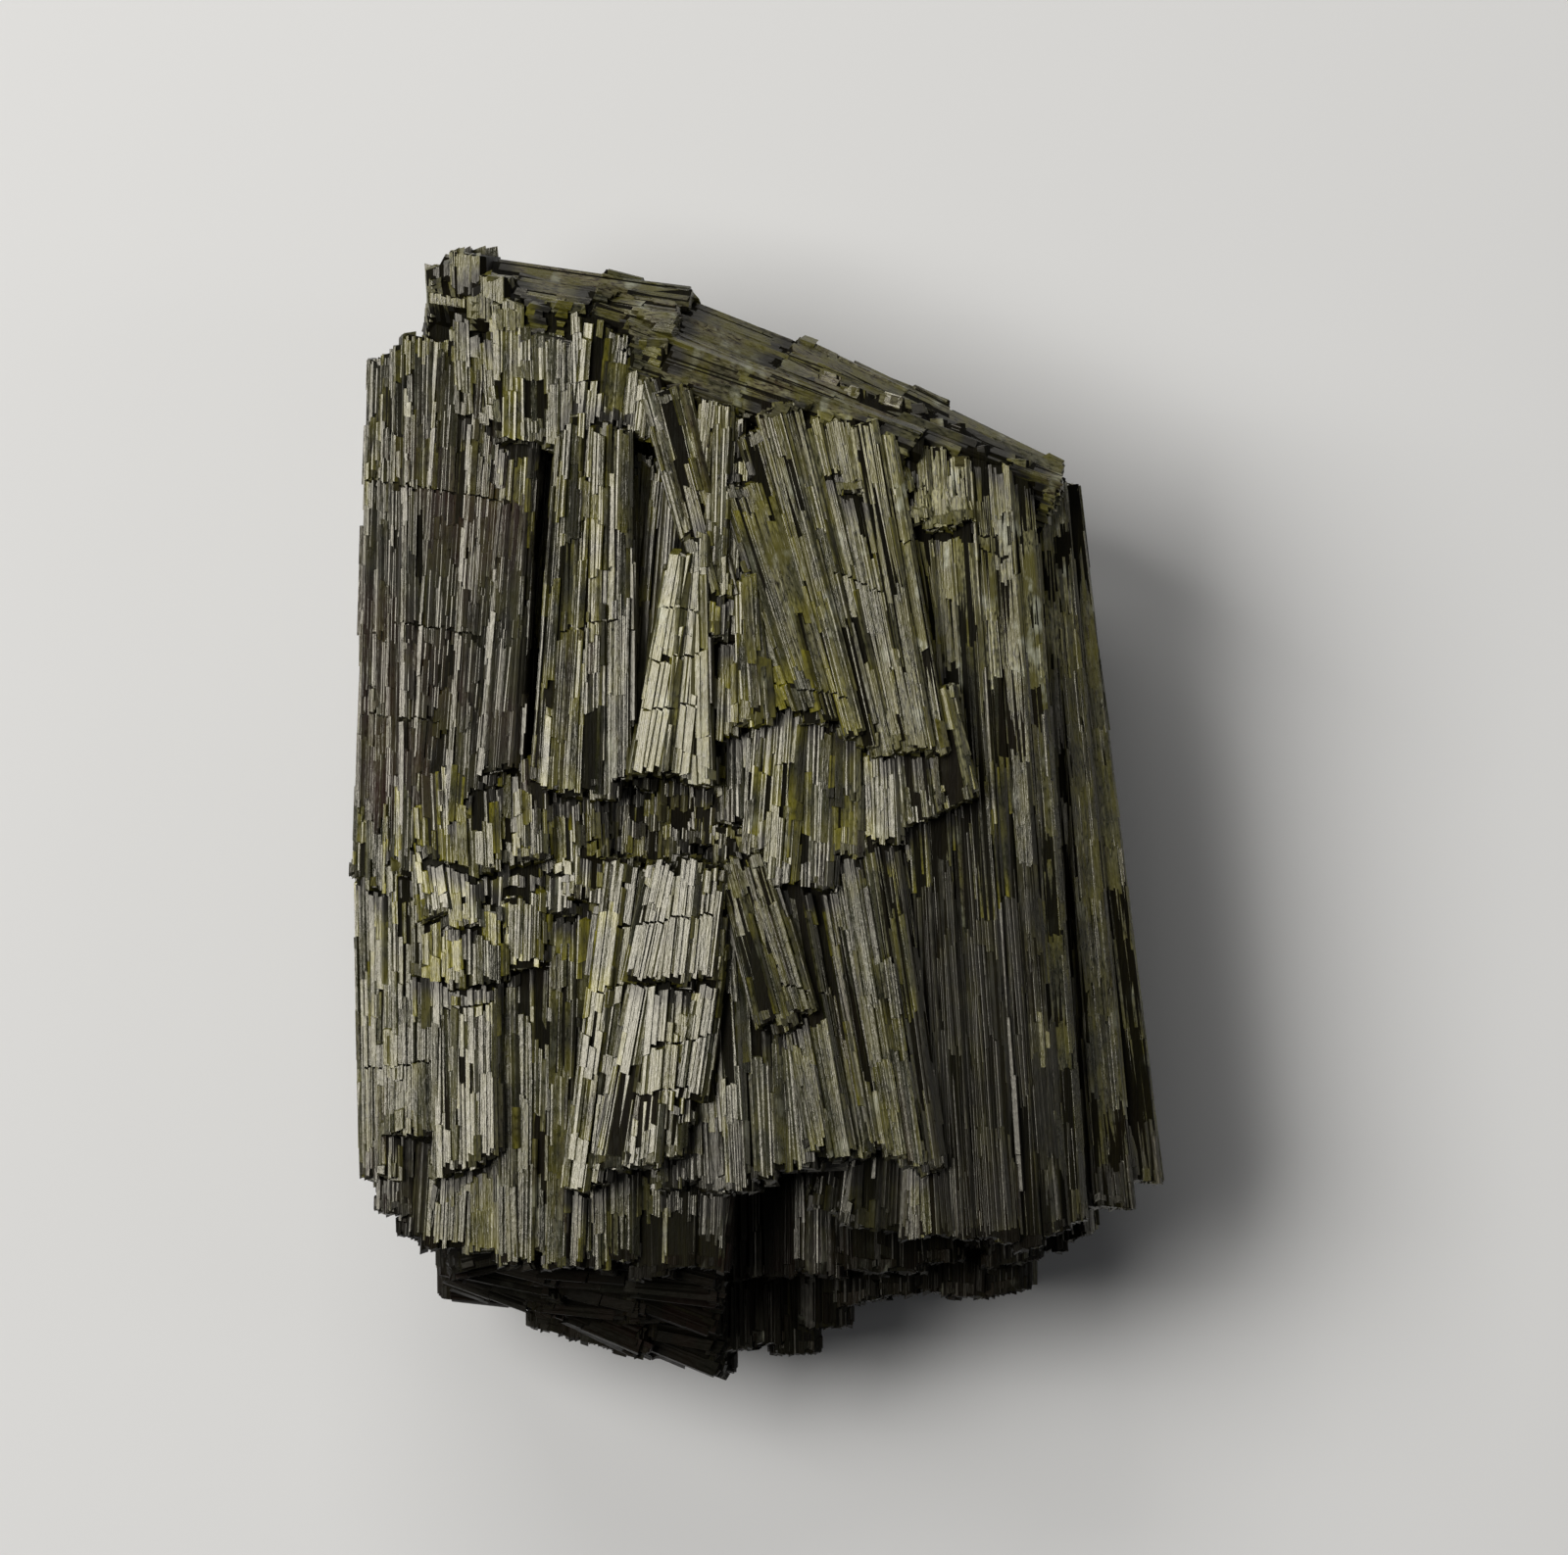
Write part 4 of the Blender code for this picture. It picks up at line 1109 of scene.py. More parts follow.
    def _bundle_run(self, habit: Habit, reach: Point, lean: float) -> BundleRun:
        """Draws where a bundle breaks and how each of its stretches stands.

        Args:
            habit: The habit at the bundle.
            reach: The facet's lowest and highest place along the crystal.
            lean: The turn that all of the facet's bundles share, in degrees.

        Returns:
            The bundle's breaks and stretches.
        """
        rng, uneven = self.rng, self.uneven
        stops = [reach[0] - self.run_margin]
        while stops[-1] < reach[1] + self.run_margin:
            stops.append(stops[-1] + habit.length * float(rng.uniform(*uneven.stretch)))
        count = len(stops) - 1
        return BundleRun(np.array(stops), rng.uniform(*habit.relief, count),
                         np.clip(rng.normal(lean, uneven.bundle_roll * habit.roll, count),
                                 -self.steepest, self.steepest),
                         rng.normal(0.0, uneven.bundle_tone, count),
                         rng.uniform(*uneven.bundle_glow, count))

    def _width(self, habit: Habit) -> float:
        """Draws a lath's width, narrow ones more often."""
        low, high = habit.width
        return low + (high - low) * float(self.rng.beta(*self.uneven.narrow))

    def _spans(self, s: np.ndarray, t: np.ndarray, turns: list[float],
               line: float) -> list[tuple[Point, Point]]:
        """Cuts a line along the facet with its outline.

        Args:
            s: The corners' places along the crystal.
            t: The corners' places across it.
            turns: For each side, how far the surface turns down beyond it.
            line: The line's place across.

        Returns:
            For each stretch inside, its two ends and the turn beyond each end.
        """
        hits = []
        count = len(s)
        for i in range(count):
            j = (i + 1) % count
            if (t[i] > line) != (t[j] > line):
                share = (line - t[i]) / (t[j] - t[i])
                steep = abs(t[j] - t[i]) > self.end_slope * abs(s[j] - s[i])
                hits.append((float(s[i] + share * (s[j] - s[i])), turns[i] if steep else 0.0))
        hits.sort()
        return [((low, high), (low_turn, high_turn))
                for (low, low_turn), (high, high_turn) in zip(hits[::2], hits[1::2])]

    def _lay_span(self, facet: Facet, store: LathStore, row: Row, span: Point, turns: Point,
                  run: BundleRun) -> None:
        """Lays the laths of one stretch of a row, broken where its bundle breaks.

        Args:
            facet: The facet.
            store: Where the laths are kept.
            row: The row.
            span: The stretch's two ends along the crystal.
            turns: How far the surface turns down beyond each end, in degrees.
            run: The bundle's breaks and stretches.
        """
        low, high = span
        if high - low < self.least_length * 0.5:
            return
        habit = self._habit_on(facet, row, low, high)
        low -= self._end_move(habit, turns[0])
        high += self._end_move(habit, turns[1])
        ragged = min(self.uneven.most_break_spread, self.uneven.break_spread * habit.length)
        inner = [stop + float(self.rng.normal(0.0, ragged)) for stop in run.stops[1:-1]]
        edges = [-math.inf, *inner, math.inf]
        cracks = self._cracks_on(row.start, facet.axis) if row.side is Side.FRONT else []
        for part in range(len(edges) - 1):
            first, last = max(low, edges[part]), min(high, edges[part + 1])
            stops = [first, *(c for c in cracks if first < c < last), last]
            shared = (run.heights[part], run.rolls[part], run.tones[part], run.glows[part])
            for begin, finish in zip(stops[:-1], stops[1:]):
                begin += self.crack_gap if begin in cracks else 0.0
                if finish - begin < max(self.least_length, self.least_shape * row.width):
                    continue
                walls = (float(turns[0] < -self.wall_turn and begin == low),
                         float(turns[1] < -self.wall_turn and finish == high))
                here = self._habit_on(facet, row, begin, finish)
                self._lay_one(facet, store, row, (begin, finish), here, shared, walls)

    def _habit_on(self, facet: Facet, row: Row, begin: float, finish: float) -> Habit:
        """Finds the habit at the middle of a stretch of a row."""
        return self.habit_at(row.start + facet.axis * (0.5 * (begin + finish)), row.side)

    def _cracks_on(self, start: np.ndarray, axis: np.ndarray) -> list[float]:
        """Gives the places where cross cracks meet a line of the front.

        Args:
            start: A point of the line.
            axis: The line's direction.

        Returns:
            The places along the line.
        """
        x, y = start[0] - LAYOUT_SHIFT[0], start[1] - LAYOUT_SHIFT[1]
        found = []
        for (x0, y0), (x1, y1) in CROSS_CRACKS:
            ahead = axis[0] * (y1 - y0) - axis[1] * (x1 - x0)
            if abs(ahead) < TINY:
                continue
            along = ((x0 - x) * (y1 - y0) - (y0 - y) * (x1 - x0)) / ahead
            share = ((x + along * axis[0] - x0) * (x1 - x0)
                     + (y + along * axis[1] - y0) * (y1 - y0))
            if 0.0 <= share <= (x1 - x0) ** 2 + (y1 - y0) ** 2:
                found.append(float(along + self.rng.normal(0.0, self.uneven.crack_spread)))
        return sorted(found)

    def _end_move(self, habit: Habit, turn: float) -> float:
        """Draws how far a lath passes the facet's edge.

        Args:
            habit: The habit at the lath.
            turn: How far the surface turns down beyond the edge, in degrees.

        Returns:
            The distance, negative where the lath stops short.
        """
        if turn > self.free_turn:
            return float(self.rng.uniform(-habit.jut, self.uneven.overshoot * habit.jut))
        if turn < -self.wall_turn:
            return -float(self.rng.uniform(0.0, self.uneven.wall_miss))
        return self.under_rise if turn < -self.free_turn else self.under_level

    def _lay_one(self, facet: Facet, store: LathStore, row: Row, span: Point, habit: Habit,
                 shared: Quad, walls: Point) -> None:
        """Lays one lath with its own small turns.

        Args:
            facet: The facet.
            store: Where the lath is kept.
            row: The row.
            span: The lath's two ends along the crystal.
            habit: The habit at the lath.
            shared: The height, roll, tone and glow of its stretch of the bundle.
            walls: 1 for the foot and for the head that meets a wall, else 0.
        """
        rng, uneven = self.rng, self.uneven
        height, lean, tone, glow = shared
        middle = row.start + facet.axis * (0.5 * (span[0] + span[1]))
        # Sheltered laths are turned away from the light and get painted shade in their tone and
        # colour
        near = self.sky.hidden(middle, facet.normal)
        shelter_painted_shade = min(1.0, max(0.0, near + habit.hidden))
        if facet.normal[2] > FRONT_FACING:
            lean += self.valley_turn * shelter_painted_shade
            glow += self.valley_glow * near
        tone += self.valley_painted_shade * shelter_painted_shade
        roll = math.radians(lean + float(rng.normal(0.0, uneven.lath_roll * habit.roll)))
        yaw = math.radians(float(rng.normal(0.0, uneven.yaw)))
        pitch = math.radians(float(rng.normal(0.0, uneven.pitch)))
        axis = facet.axis + row.across * math.tan(yaw) + facet.normal * math.tan(pitch)
        axis /= np.linalg.norm(axis)
        side = row.across - axis * float(row.across @ axis)
        side /= np.linalg.norm(side)
        up = np.cross(axis, side)
        if up @ facet.normal < 0.0:
            up = -up
        turned = side * math.cos(roll) + up * math.sin(roll)
        raised = up * math.cos(roll) - side * math.sin(roll)
        length = span[1] - span[0]
        low, high = habit.relief
        height += float(rng.normal(0.0, uneven.lath_height * (high - low)))
        kind = Surface.SMOOTH if rng.random() < habit.smooth else Surface.RIBBED
        store.add(middle - axis * (0.5 * length), axis, turned, raised,
                  (length, row.width * self.overlap, height, self.depth),
                  int(rng.choice(self.numbers[kind])), self._looks(habit, tone, glow),
                  (*walls, shelter_painted_shade))

    def _looks(self, habit: Habit, tone: float, glow: float) -> Quad:
        """Draws the looks of one lath.

        Args:
            habit: The habit at the lath.
            tone: The change of tone.
            glow: The share of the habit's glow.

        Returns:
            The tone, warmth, dullness and glow.
        """
        spreads = self.uneven.looks
        values = [value + self.rng.normal(0.0, spread)
                  for value, spread in zip((habit.tone + tone, habit.warm, habit.dull), spreads)]
        return tuple(float(min(max(value, 0.0), 1.0)) for value in (*values, habit.glow * glow))

    def _lay_stubs(self, facet: Facet, store: LathStore) -> None:
        """Stands short broken laths side by side on the end of a crystal.

        Args:
            facet: The facet.
            store: Where the stubs are kept.
        """
        stub, outward = self.stub, facet.axis
        level = np.array([0.0, 0.0, 1.0]) - outward * outward[2]
        if np.linalg.norm(level) < stub.least_level:
            level = np.array([1.0, 0.0, 0.0]) - outward * outward[0]
        level /= np.linalg.norm(level)
        across = np.cross(outward, level)
        flat = facet.corners - facet.middle
        u, v = flat @ across, flat @ level
        row = float(v.min())
        while row < v.max():
            tall = float(self.rng.uniform(*stub.width)) * stub.flatness
            for (place, high), _ in self._spans(u, v, [0.0] * len(u), row + 0.5 * tall):
                while place < high:
                    wide = float(self.rng.uniform(*stub.width))
                    self._stand(facet, store, (across, level),
                                (place + 0.5 * wide, row + 0.5 * tall), (wide, tall))
                    place += wide * stub.place_step
            row += tall * stub.row_step

    def _stand(self, facet: Facet, store: LathStore, axes: tuple[np.ndarray, np.ndarray],
               place: Point, size: Point) -> None:
        """Stands one stub.

        Args:
            facet: The facet.
            store: Where the stub is kept.
            axes: The directions of the stub's width and of its height.
            place: Its middle along both, from the facet's middle.
            size: Its width and height.
        """
        rng, stub, outward = self.rng, self.stub, facet.axis
        across, level = axes
        flat = across * place[0] + level * place[1]
        facing = max(float(facet.normal @ outward), stub.least_facing)
        rise = -float(facet.normal @ flat) / facing
        at = facet.middle + flat + outward * rise
        habit = self.habit_at(at, Side.FLANK if at[2] < FLANK_LEVEL else Side.FRONT)
        jut = float(rng.uniform(*stub.jut))
        roll = math.radians(float(rng.normal(*stub.roll)))
        turned = across * math.cos(roll) + level * math.sin(roll)
        raised = level * math.cos(roll) - across * math.sin(roll)
        # Stubs stand on the crystals' ends, which face away from the light: their tone and
        # sheltering paint shade there
        looks = self._looks(habit, stub.tone, float(rng.uniform(*stub.glow)))
        store.add(at - outward * stub.root, outward, turned, raised,
                  (stub.root + jut, size[0] * stub.overlap, 0.5 * size[1], 0.5 * size[1]),
                  int(rng.choice(self.numbers[Surface.STUB])), looks,
                  (0.0, 0.0, min(1.0, stub.shelter_painted_shade + habit.hidden)))


class NodeKit:
    """Short ways to add the shader nodes that groups and finishes use."""

    @staticmethod
    def math(tree: bpy.types.NodeTree, operation: str, first: Source, second: Source,
             third: Source = None, clamp: bool = False) -> bpy.types.NodeSocket:
        """Adds a math node.

        Args:
            tree: Where the node goes.
            operation: The node's operation.
            first: The first value, a socket or a number.
            second: The second value.
            third: The third value, where the operation has one.
            clamp: Whether the result stays from 0 to 1.

        Returns:
            The result.
        """
        node = tree.nodes.new("ShaderNodeMath")
        node.operation = operation
        node.use_clamp = clamp
        for place, value in enumerate((first, second, third)):
            if isinstance(value, bpy.types.NodeSocket):
                tree.links.new(value, node.inputs[place])
            elif value is not None:
                node.inputs[place].default_value = value
        return node.outputs[0]

    @staticmethod
    def ramp(tree: bpy.types.NodeTree, value: bpy.types.NodeSocket, start: float, end: float,
             smooth: bool = False) -> bpy.types.NodeSocket:
        """Adds a node that rises from 0 to 1 between two values.

        Args:
            tree: Where the node goes.
            value: The value that is read.
            start: Where the result is 0.
            end: Where the result is 1.
            smooth: Whether the rise is eased at both ends.

        Returns:
            The result.
        """
        node = tree.nodes.new("ShaderNodeMapRange")
        if smooth:
            node.interpolation_type = "SMOOTHSTEP"
        node.inputs["From Min"].default_value = start
        node.inputs["From Max"].default_value = end
        tree.links.new(value, node.inputs["Value"])
        return node.outputs[0]

    @staticmethod
    def noise(tree: bpy.types.NodeTree, vector: bpy.types.NodeSocket, scale: Triple,
              detail: float) -> bpy.types.NodeSocket:
        """Adds a noise that is stretched by a mapping.

        Args:
            tree: Where the nodes go.
            vector: The coordinates.
            scale: How often the noise repeats along each axis.
            detail: The noise's detail.

        Returns:
            The noise's value.
        """
        mapping = tree.nodes.new("ShaderNodeMapping")
        mapping.inputs["Scale"].default_value = scale
        noise = tree.nodes.new("ShaderNodeTexNoise")
        noise.inputs["Scale"].default_value = 1.0
        noise.inputs["Detail"].default_value = detail
        tree.links.new(vector, mapping.inputs["Vector"])
        tree.links.new(mapping.outputs[0], noise.inputs["Vector"])
        return noise.outputs["Fac"]

    @staticmethod
    def mix(tree: bpy.types.NodeTree, share: bpy.types.NodeSocket, first: Source,
            second: Triple) -> bpy.types.NodeSocket:
        """Mixes two colours.

        Args:
            tree: Where the node goes.
            share: The share of the second colour.
            first: The first colour, plain or a socket.
            second: The second colour.

        Returns:
            The mixed colour.
        """
        node = tree.nodes.new("ShaderNodeMix")
        node.data_type = "RGBA"
        tree.links.new(share, node.inputs["Factor"])
        if isinstance(first, bpy.types.NodeSocket):
            tree.links.new(first, node.inputs[6])
        else:
            node.inputs[6].default_value = (*first, 1.0)
        node.inputs[7].default_value = (*second, 1.0)
        return node.outputs[2]

    @staticmethod
    def attribute(tree: bpy.types.NodeTree, name: str) -> tuple[bpy.types.NodeSocket, ...]:
        """Reads a colour attribute.

        Args:
            tree: Where the nodes go.
            name: The attribute's name.

        Returns:
            Its four numbers.
        """
        node = tree.nodes.new("ShaderNodeAttribute")
        node.attribute_name = name
        parts = tree.nodes.new("ShaderNodeSeparateColor")
        tree.links.new(node.outputs["Color"], parts.inputs[0])
        return (*parts.outputs[:3], node.outputs["Alpha"])

    @staticmethod
    def uv(tree: bpy.types.NodeTree, name: str) -> bpy.types.NodeSocket:
        """Reads a UV map.

        Args:
            tree: Where the node goes.
            name: The map's name.

        Returns:
            Its coordinates.
        """
        node = tree.nodes.new("ShaderNodeUVMap")
        node.uv_map = name
        return node.outputs[0]

    @staticmethod
    def group(tree: bpy.types.NodeTree, shared: bpy.types.NodeTree) -> bpy.types.Node:
        """Places a shared group in a material.

        Args:
            tree: The material's nodes.
            shared: The group.

        Returns:
            The group's node.
        """
        node = tree.nodes.new("ShaderNodeGroup")
        node.node_tree = shared
        return node


@dataclass(frozen=True)
class GroupMaker:
    """Builds the shader groups that several finishes share.

    Args:
        fine: How often the finest lines repeat to the millimetre, along, across and up.
        broad: The same for the broader streaks.
        grit: The same for the short grains.
        broad_share: Share of the streaks in the height, beside the finest lines.
        grit_share: Share of the grains in the height.
        cloud: How often the clouds repeat to the metre.
        scuff: The same for the scuffs.
        moss: The same for the moss-green patches.
        cloud_range: The noise's values from which and up to which a cloud thickens.
        scuff_range: The same for a scuff.
        moss_range: The same for a patch of moss green.
    """

    fine: Triple = (0.35, 14.0, 1.0)
    broad: Triple = (0.22, 4.0, 1.0)
    grit: Triple = (2.6, 8.0, 1.0)
    broad_share: float = 0.6
    grit_share: float = 1.1
    cloud: Triple = (260.0, 150.0, 260.0)
    scuff: Triple = (900.0, 500.0, 900.0)
    moss: Triple = (1000.0, 480.0, 1000.0)
    cloud_range: Point = (0.42, 0.66)
    scuff_range: Point = (0.60, 0.72)
    moss_range: Point = (0.48, 0.63)

    def striation(self) -> bpy.types.NodeTree:
        """Makes fine lines along a lath, as a height, a streak of tone and a grit of tone.

        Returns:
            The group.
        """
        tree, out = self._new("fine striation", ("Height", "Streak", "Grit"))
        tree.interface.new_socket("Vector", in_out="INPUT", socket_type="NodeSocketVector")
        vector = tree.nodes.new("NodeGroupInput").outputs[0]
        fine = NodeKit.noise(tree, vector, self.fine, 2.0)
        broad = NodeKit.noise(tree, vector, self.broad, 3.0)
        grit = NodeKit.noise(tree, vector, self.grit, 5.0)
        height = NodeKit.math(tree, "MULTIPLY_ADD", broad, self.broad_share, fine)
        height = NodeKit.math(tree, "MULTIPLY_ADD", grit, self.grit_share, height)
        for place, value in enumerate((height, broad, grit)):
            tree.links.new(value, out.inputs[place])
        return tree

    def patches(self) -> bpy.types.NodeTree:
        """Makes clouds, scuffs and moss over the whole cluster, from its own coordinates.

        Returns:
            The group.
        """
        tree, out = self._new("cloudy patches", ("Cloud", "Scuff", "Moss"))
        coords = tree.nodes.new("ShaderNodeTexCoord").outputs["Object"]
        kinds = ((self.cloud, 4.0, self.cloud_range), (self.scuff, 5.0, self.scuff_range),
                 (self.moss, 5.0, self.moss_range))
        for place, (scale, detail, limits) in enumerate(kinds):
            noise = NodeKit.noise(tree, coords, scale, detail)
            tree.links.new(NodeKit.ramp(tree, noise, *limits), out.inputs[place])
        return tree

    @staticmethod
    def _new(name: str, outputs: tuple[str, ...]) -> tuple[bpy.types.NodeTree, bpy.types.Node]:
        """Starts a group.

        Args:
            name: The group's name.
            outputs: The names of its outputs, each a number.

        Returns:
            The group and its output node.
        """
        tree = bpy.data.node_groups.new(name, "ShaderNodeTree")
        for output in outputs:
            tree.interface.new_socket(output, in_out="OUTPUT", socket_type="NodeSocketFloat")
        return tree, tree.nodes.new("NodeGroupOutput")


@dataclass(frozen=True)
class EpidoteFinish:
    """Vitreous epidote: nearly black green, greyer where weathered, yellow-green where thin.

    Its colour also holds painted shade: a near-black that is mixed in where near crystals, and
    walls at a lath's ends, shelter the stone. Each pair of numbers is a factor and what is added
    after it.

    Args:
        name: The material's name.
        deep: The darkest stone.
        olive: The lightest clean stone.
        brown: The reddish brown.
        moss: The moss-green patches.
        skin: The weathered, greyer skin.
        thin: The yellow-green at thin ends.
        scuff: The scuffs.
        painted_shade_colour: The near-black painted shade that is mixed in where near crystals, and
            walls at a lath's ends, shelter the stone.
        gloss: Roughness of clean stone.
        matt: Roughness of weathered stone.
        refraction: Epidote's refractive index.
        shine: Strength of the reflection.
        sheen: Colour of the reflection.
        bump: Strength of the fine relief.
        bump_depth: Depth of the fine relief, in metres.
        streak: How streaks change the tone.
        cloudy: How clouds gather the weathered skin.
        speckle: How grit breaks that skin up.
        mossy: How dullness brings out the moss green.
        vein: How grit breaks up the yellow-green.
        scuffed: How dullness brings out scuffs.
        painted_shade_strength: How fast the painted shade comes in where the stone is sheltered.
        grit_rough: How grit changes the roughness.
        shade_rough: How shelter changes the roughness.
        end_reach: How far from an end the yellow-green goes, in millimetres.
        shelter_share: Share of the sheltering by near crystals in the painted shade.
        wall_reach: From how far and down to how near a wall paints shade into a lath, in
            millimetres.
        on_laths: Whether the finish reads a lath's own values.
        plain: The tone, warmth, dullness, glow and painted shade where it doesn't.
        plain_end: How the streaks set the nearness of an end there.
    """

    name: str = "epidote"
    deep: Triple = (0.0026, 0.0032, 0.0010)
    olive: Triple = (0.0135, 0.0148, 0.0030)
    brown: Triple = (0.0300, 0.0090, 0.0060)
    moss: Triple = (0.0620, 0.0570, 0.0080)
    skin: Triple = (0.275, 0.262, 0.125)
    thin: Triple = (0.165, 0.150, 0.007)
    scuff: Triple = (0.25, 0.26, 0.2)
    painted_shade_colour: Triple = (0.0018, 0.0015, 0.0007)
    gloss: float = 0.27
    matt: float = 0.36
    refraction: float = 1.74
    shine: float = 0.5
    sheen: Triple = (1.0, 0.97, 0.87)
    bump: float = 0.65
    bump_depth: float = 0.000030
    streak: Point = (2.4, -1.2)
    cloudy: Point = (0.65, 0.35)
    speckle: Point = (5.0, -1.9)
    mossy: Point = (1.6, 0.3)
    vein: Point = (3.0, -0.6)
    scuffed: Point = (1.2, 0.08)
    painted_shade_strength: float = 1.1
    grit_rough: Point = (0.4, -0.2)
    shade_rough: float = 0.12
    end_reach: float = 1.5
    shelter_share: float = 0.75
    wall_reach: Point = (1.3, 0.2)
    on_laths: bool = True
    plain: tuple[float, float, float, float, float] = (0.0, 0.2, 0.0, 0.12, 0.7)
    plain_end: Point = (2.5, -1.0)

    def make(self, striation: bpy.types.NodeTree,
             patches: bpy.types.NodeTree) -> bpy.types.Material:
        """Builds the material.

        Args:
            striation: The group for fine lines.
            patches: The group for clouds, scuffs and moss.

        Returns:
            The material.
        """
        material = bpy.data.materials.new(self.name)
        material.use_nodes = True
        tree = material.node_tree
        shader = tree.nodes["Principled BSDF"]
        shader.inputs["IOR"].default_value = self.refraction
        shader.inputs["Specular Tint"].default_value = (*self.sheen, 1.0)
        shader.inputs["Specular IOR Level"].default_value = self.shine
        lines = NodeKit.group(tree, striation)
        read = self._lath_values if self.on_laths else self._plain_values
        tone, warm, dull, glow, end, shade = read(tree, lines)
        cloud, scuff, moss = NodeKit.group(tree, patches).outputs
        grit = lines.outputs["Grit"]
        tone = NodeKit.math(tree, "MULTIPLY_ADD", lines.outputs["Streak"], self.streak[0], tone)
        tone = NodeKit.math(tree, "ADD", tone, self.streak[1], clamp=True)
        reddish = NodeKit.math(tree, "MULTIPLY", warm, cloud, clamp=True)
        faded = self._scaled(tree, cloud, self.cloudy)
        faded = NodeKit.math(tree, "MULTIPLY", faded, dull, clamp=True)
        speckle = self._scaled(tree, grit, self.speckle, clamp=True)
        faded = NodeKit.math(tree, "MULTIPLY", faded, speckle)
        mossy = self._scaled(tree, dull, self.mossy)
        mossy = NodeKit.math(tree, "MULTIPLY", mossy, moss, clamp=True)
        thin = NodeKit.math(tree, "MULTIPLY", glow, end, clamp=True)
        vein = self._scaled(tree, grit, self.vein, clamp=True)
        thin = NodeKit.math(tree, "MULTIPLY", thin, vein)
        scuffed = self._scaled(tree, dull, self.scuffed)
        scuffed = NodeKit.math(tree, "MULTIPLY", scuffed, scuff, clamp=True)
        # Painted shade: a near-black mixed into the colour where near crystals, and walls at a
        # lath's ends, shelter the stone
        dark = NodeKit.math(tree, "MULTIPLY", shade, self.painted_shade_strength, clamp=True)
        colour = self.deep
        for share, second in ((tone, self.olive), (reddish, self.brown), (faded, self.skin),
                              (mossy, self.moss), (thin, self.thin), (scuffed, self.scuff),
                              (dark, self.painted_shade_colour)):
            colour = NodeKit.mix(tree, share, colour, second)
        tree.links.new(colour, shader.inputs["Base Color"])
        factor, shift = self.grit_rough
        rough = self._scaled(tree, dull, (self.matt - self.gloss, self.gloss + shift))
        rough = NodeKit.math(tree, "MULTIPLY_ADD", grit, factor, rough)
        rough = NodeKit.math(tree, "MULTIPLY_ADD", shade, self.shade_rough, rough)
        tree.links.new(rough, shader.inputs["Roughness"])
        bump = tree.nodes.new("ShaderNodeBump")
        bump.inputs["Strength"].default_value = self.bump
        bump.inputs["Distance"].default_value = self.bump_depth
        tree.links.new(lines.outputs["Height"], bump.inputs["Height"])
        tree.links.new(bump.outputs[0], shader.inputs["Normal"])
        return material

    @staticmethod
    def _scaled(tree: bpy.types.NodeTree, value: bpy.types.NodeSocket, by: Point,
                clamp: bool = False) -> bpy.types.NodeSocket:
        """Multiplies a value by the first of two numbers and adds the second."""
        return NodeKit.math(tree, "MULTIPLY_ADD", value, *by, clamp=clamp)

    def _lath_values(self, tree: bpy.types.NodeTree,
                     lines: bpy.types.Node) -> tuple[bpy.types.NodeSocket, ...]:
        """Reads a lath's own values and how near its ends are.

        Args:
            tree: The material's nodes.
            lines: The node of the fine lines, which gets its coordinates.

        Returns:
            The tone, warmth, dullness, glow, nearness of an end, and painted shade.
        """
        tree.links.new(NodeKit.uv(tree, "grain"), lines.inputs["Vector"])
        split = tree.nodes.new("ShaderNodeSeparateXYZ")
        tree.links.new(NodeKit.uv(tree, "ends"), split.inputs[0])
        to_head, to_foot, _ = split.outputs
        nearest = NodeKit.math(tree, "MINIMUM", to_head, to_foot)
        end = NodeKit.ramp(tree, nearest, self.end_reach, 0.0)
        # Painted shade: a lath darkens where near crystals shelter it and near an end that meets a
        # wall
        foot_wall, head_wall, shelter_painted_shade, _ = NodeKit.attribute(tree, "shelter_painted_shade")
        shade = NodeKit.math(tree, "MULTIPLY", shelter_painted_shade, self.shelter_share)
        for wall, distance in ((foot_wall, to_foot), (head_wall, to_head)):
            near = NodeKit.ramp(tree, distance, *self.wall_reach, smooth=True)
            shade = NodeKit.math(tree, "MULTIPLY_ADD", near, wall, shade)
        shade = NodeKit.math(tree, "ADD", shade, 0.0, clamp=True)
        return (*NodeKit.attribute(tree, "habit"), end, shade)

    def _plain_values(self, tree: bpy.types.NodeTree,
                      lines: bpy.types.Node) -> tuple[bpy.types.NodeSocket, ...]:
        """Gives even values for the solid under the laths.

        Args:
            tree: The material's nodes.
            lines: The node of the fine lines, which gets its coordinates.

        Returns:
            The tone, warmth, dullness, glow, nearness of an end, and shelter.
        """
        coords = tree.nodes.new("ShaderNodeTexCoord")
        turn = tree.nodes.new("ShaderNodeMapping")
        turn.inputs["Rotation"].default_value = (0.0, 0.0, math.radians(90.0))
        turn.inputs["Scale"].default_value = (1.0 / MM,) * 3
        tree.links.new(coords.outputs["Object"], turn.inputs["Vector"])
        tree.links.new(turn.outputs[0], lines.inputs["Vector"])
        made = []
        for number in self.plain:
            value = tree.nodes.new("ShaderNodeValue")
            value.outputs[0].default_value = number
            made.append(value.outputs[0])
        end = self._scaled(tree, lines.outputs["Streak"], self.plain_end, clamp=True)
        return (*made[:4], end, made[4])


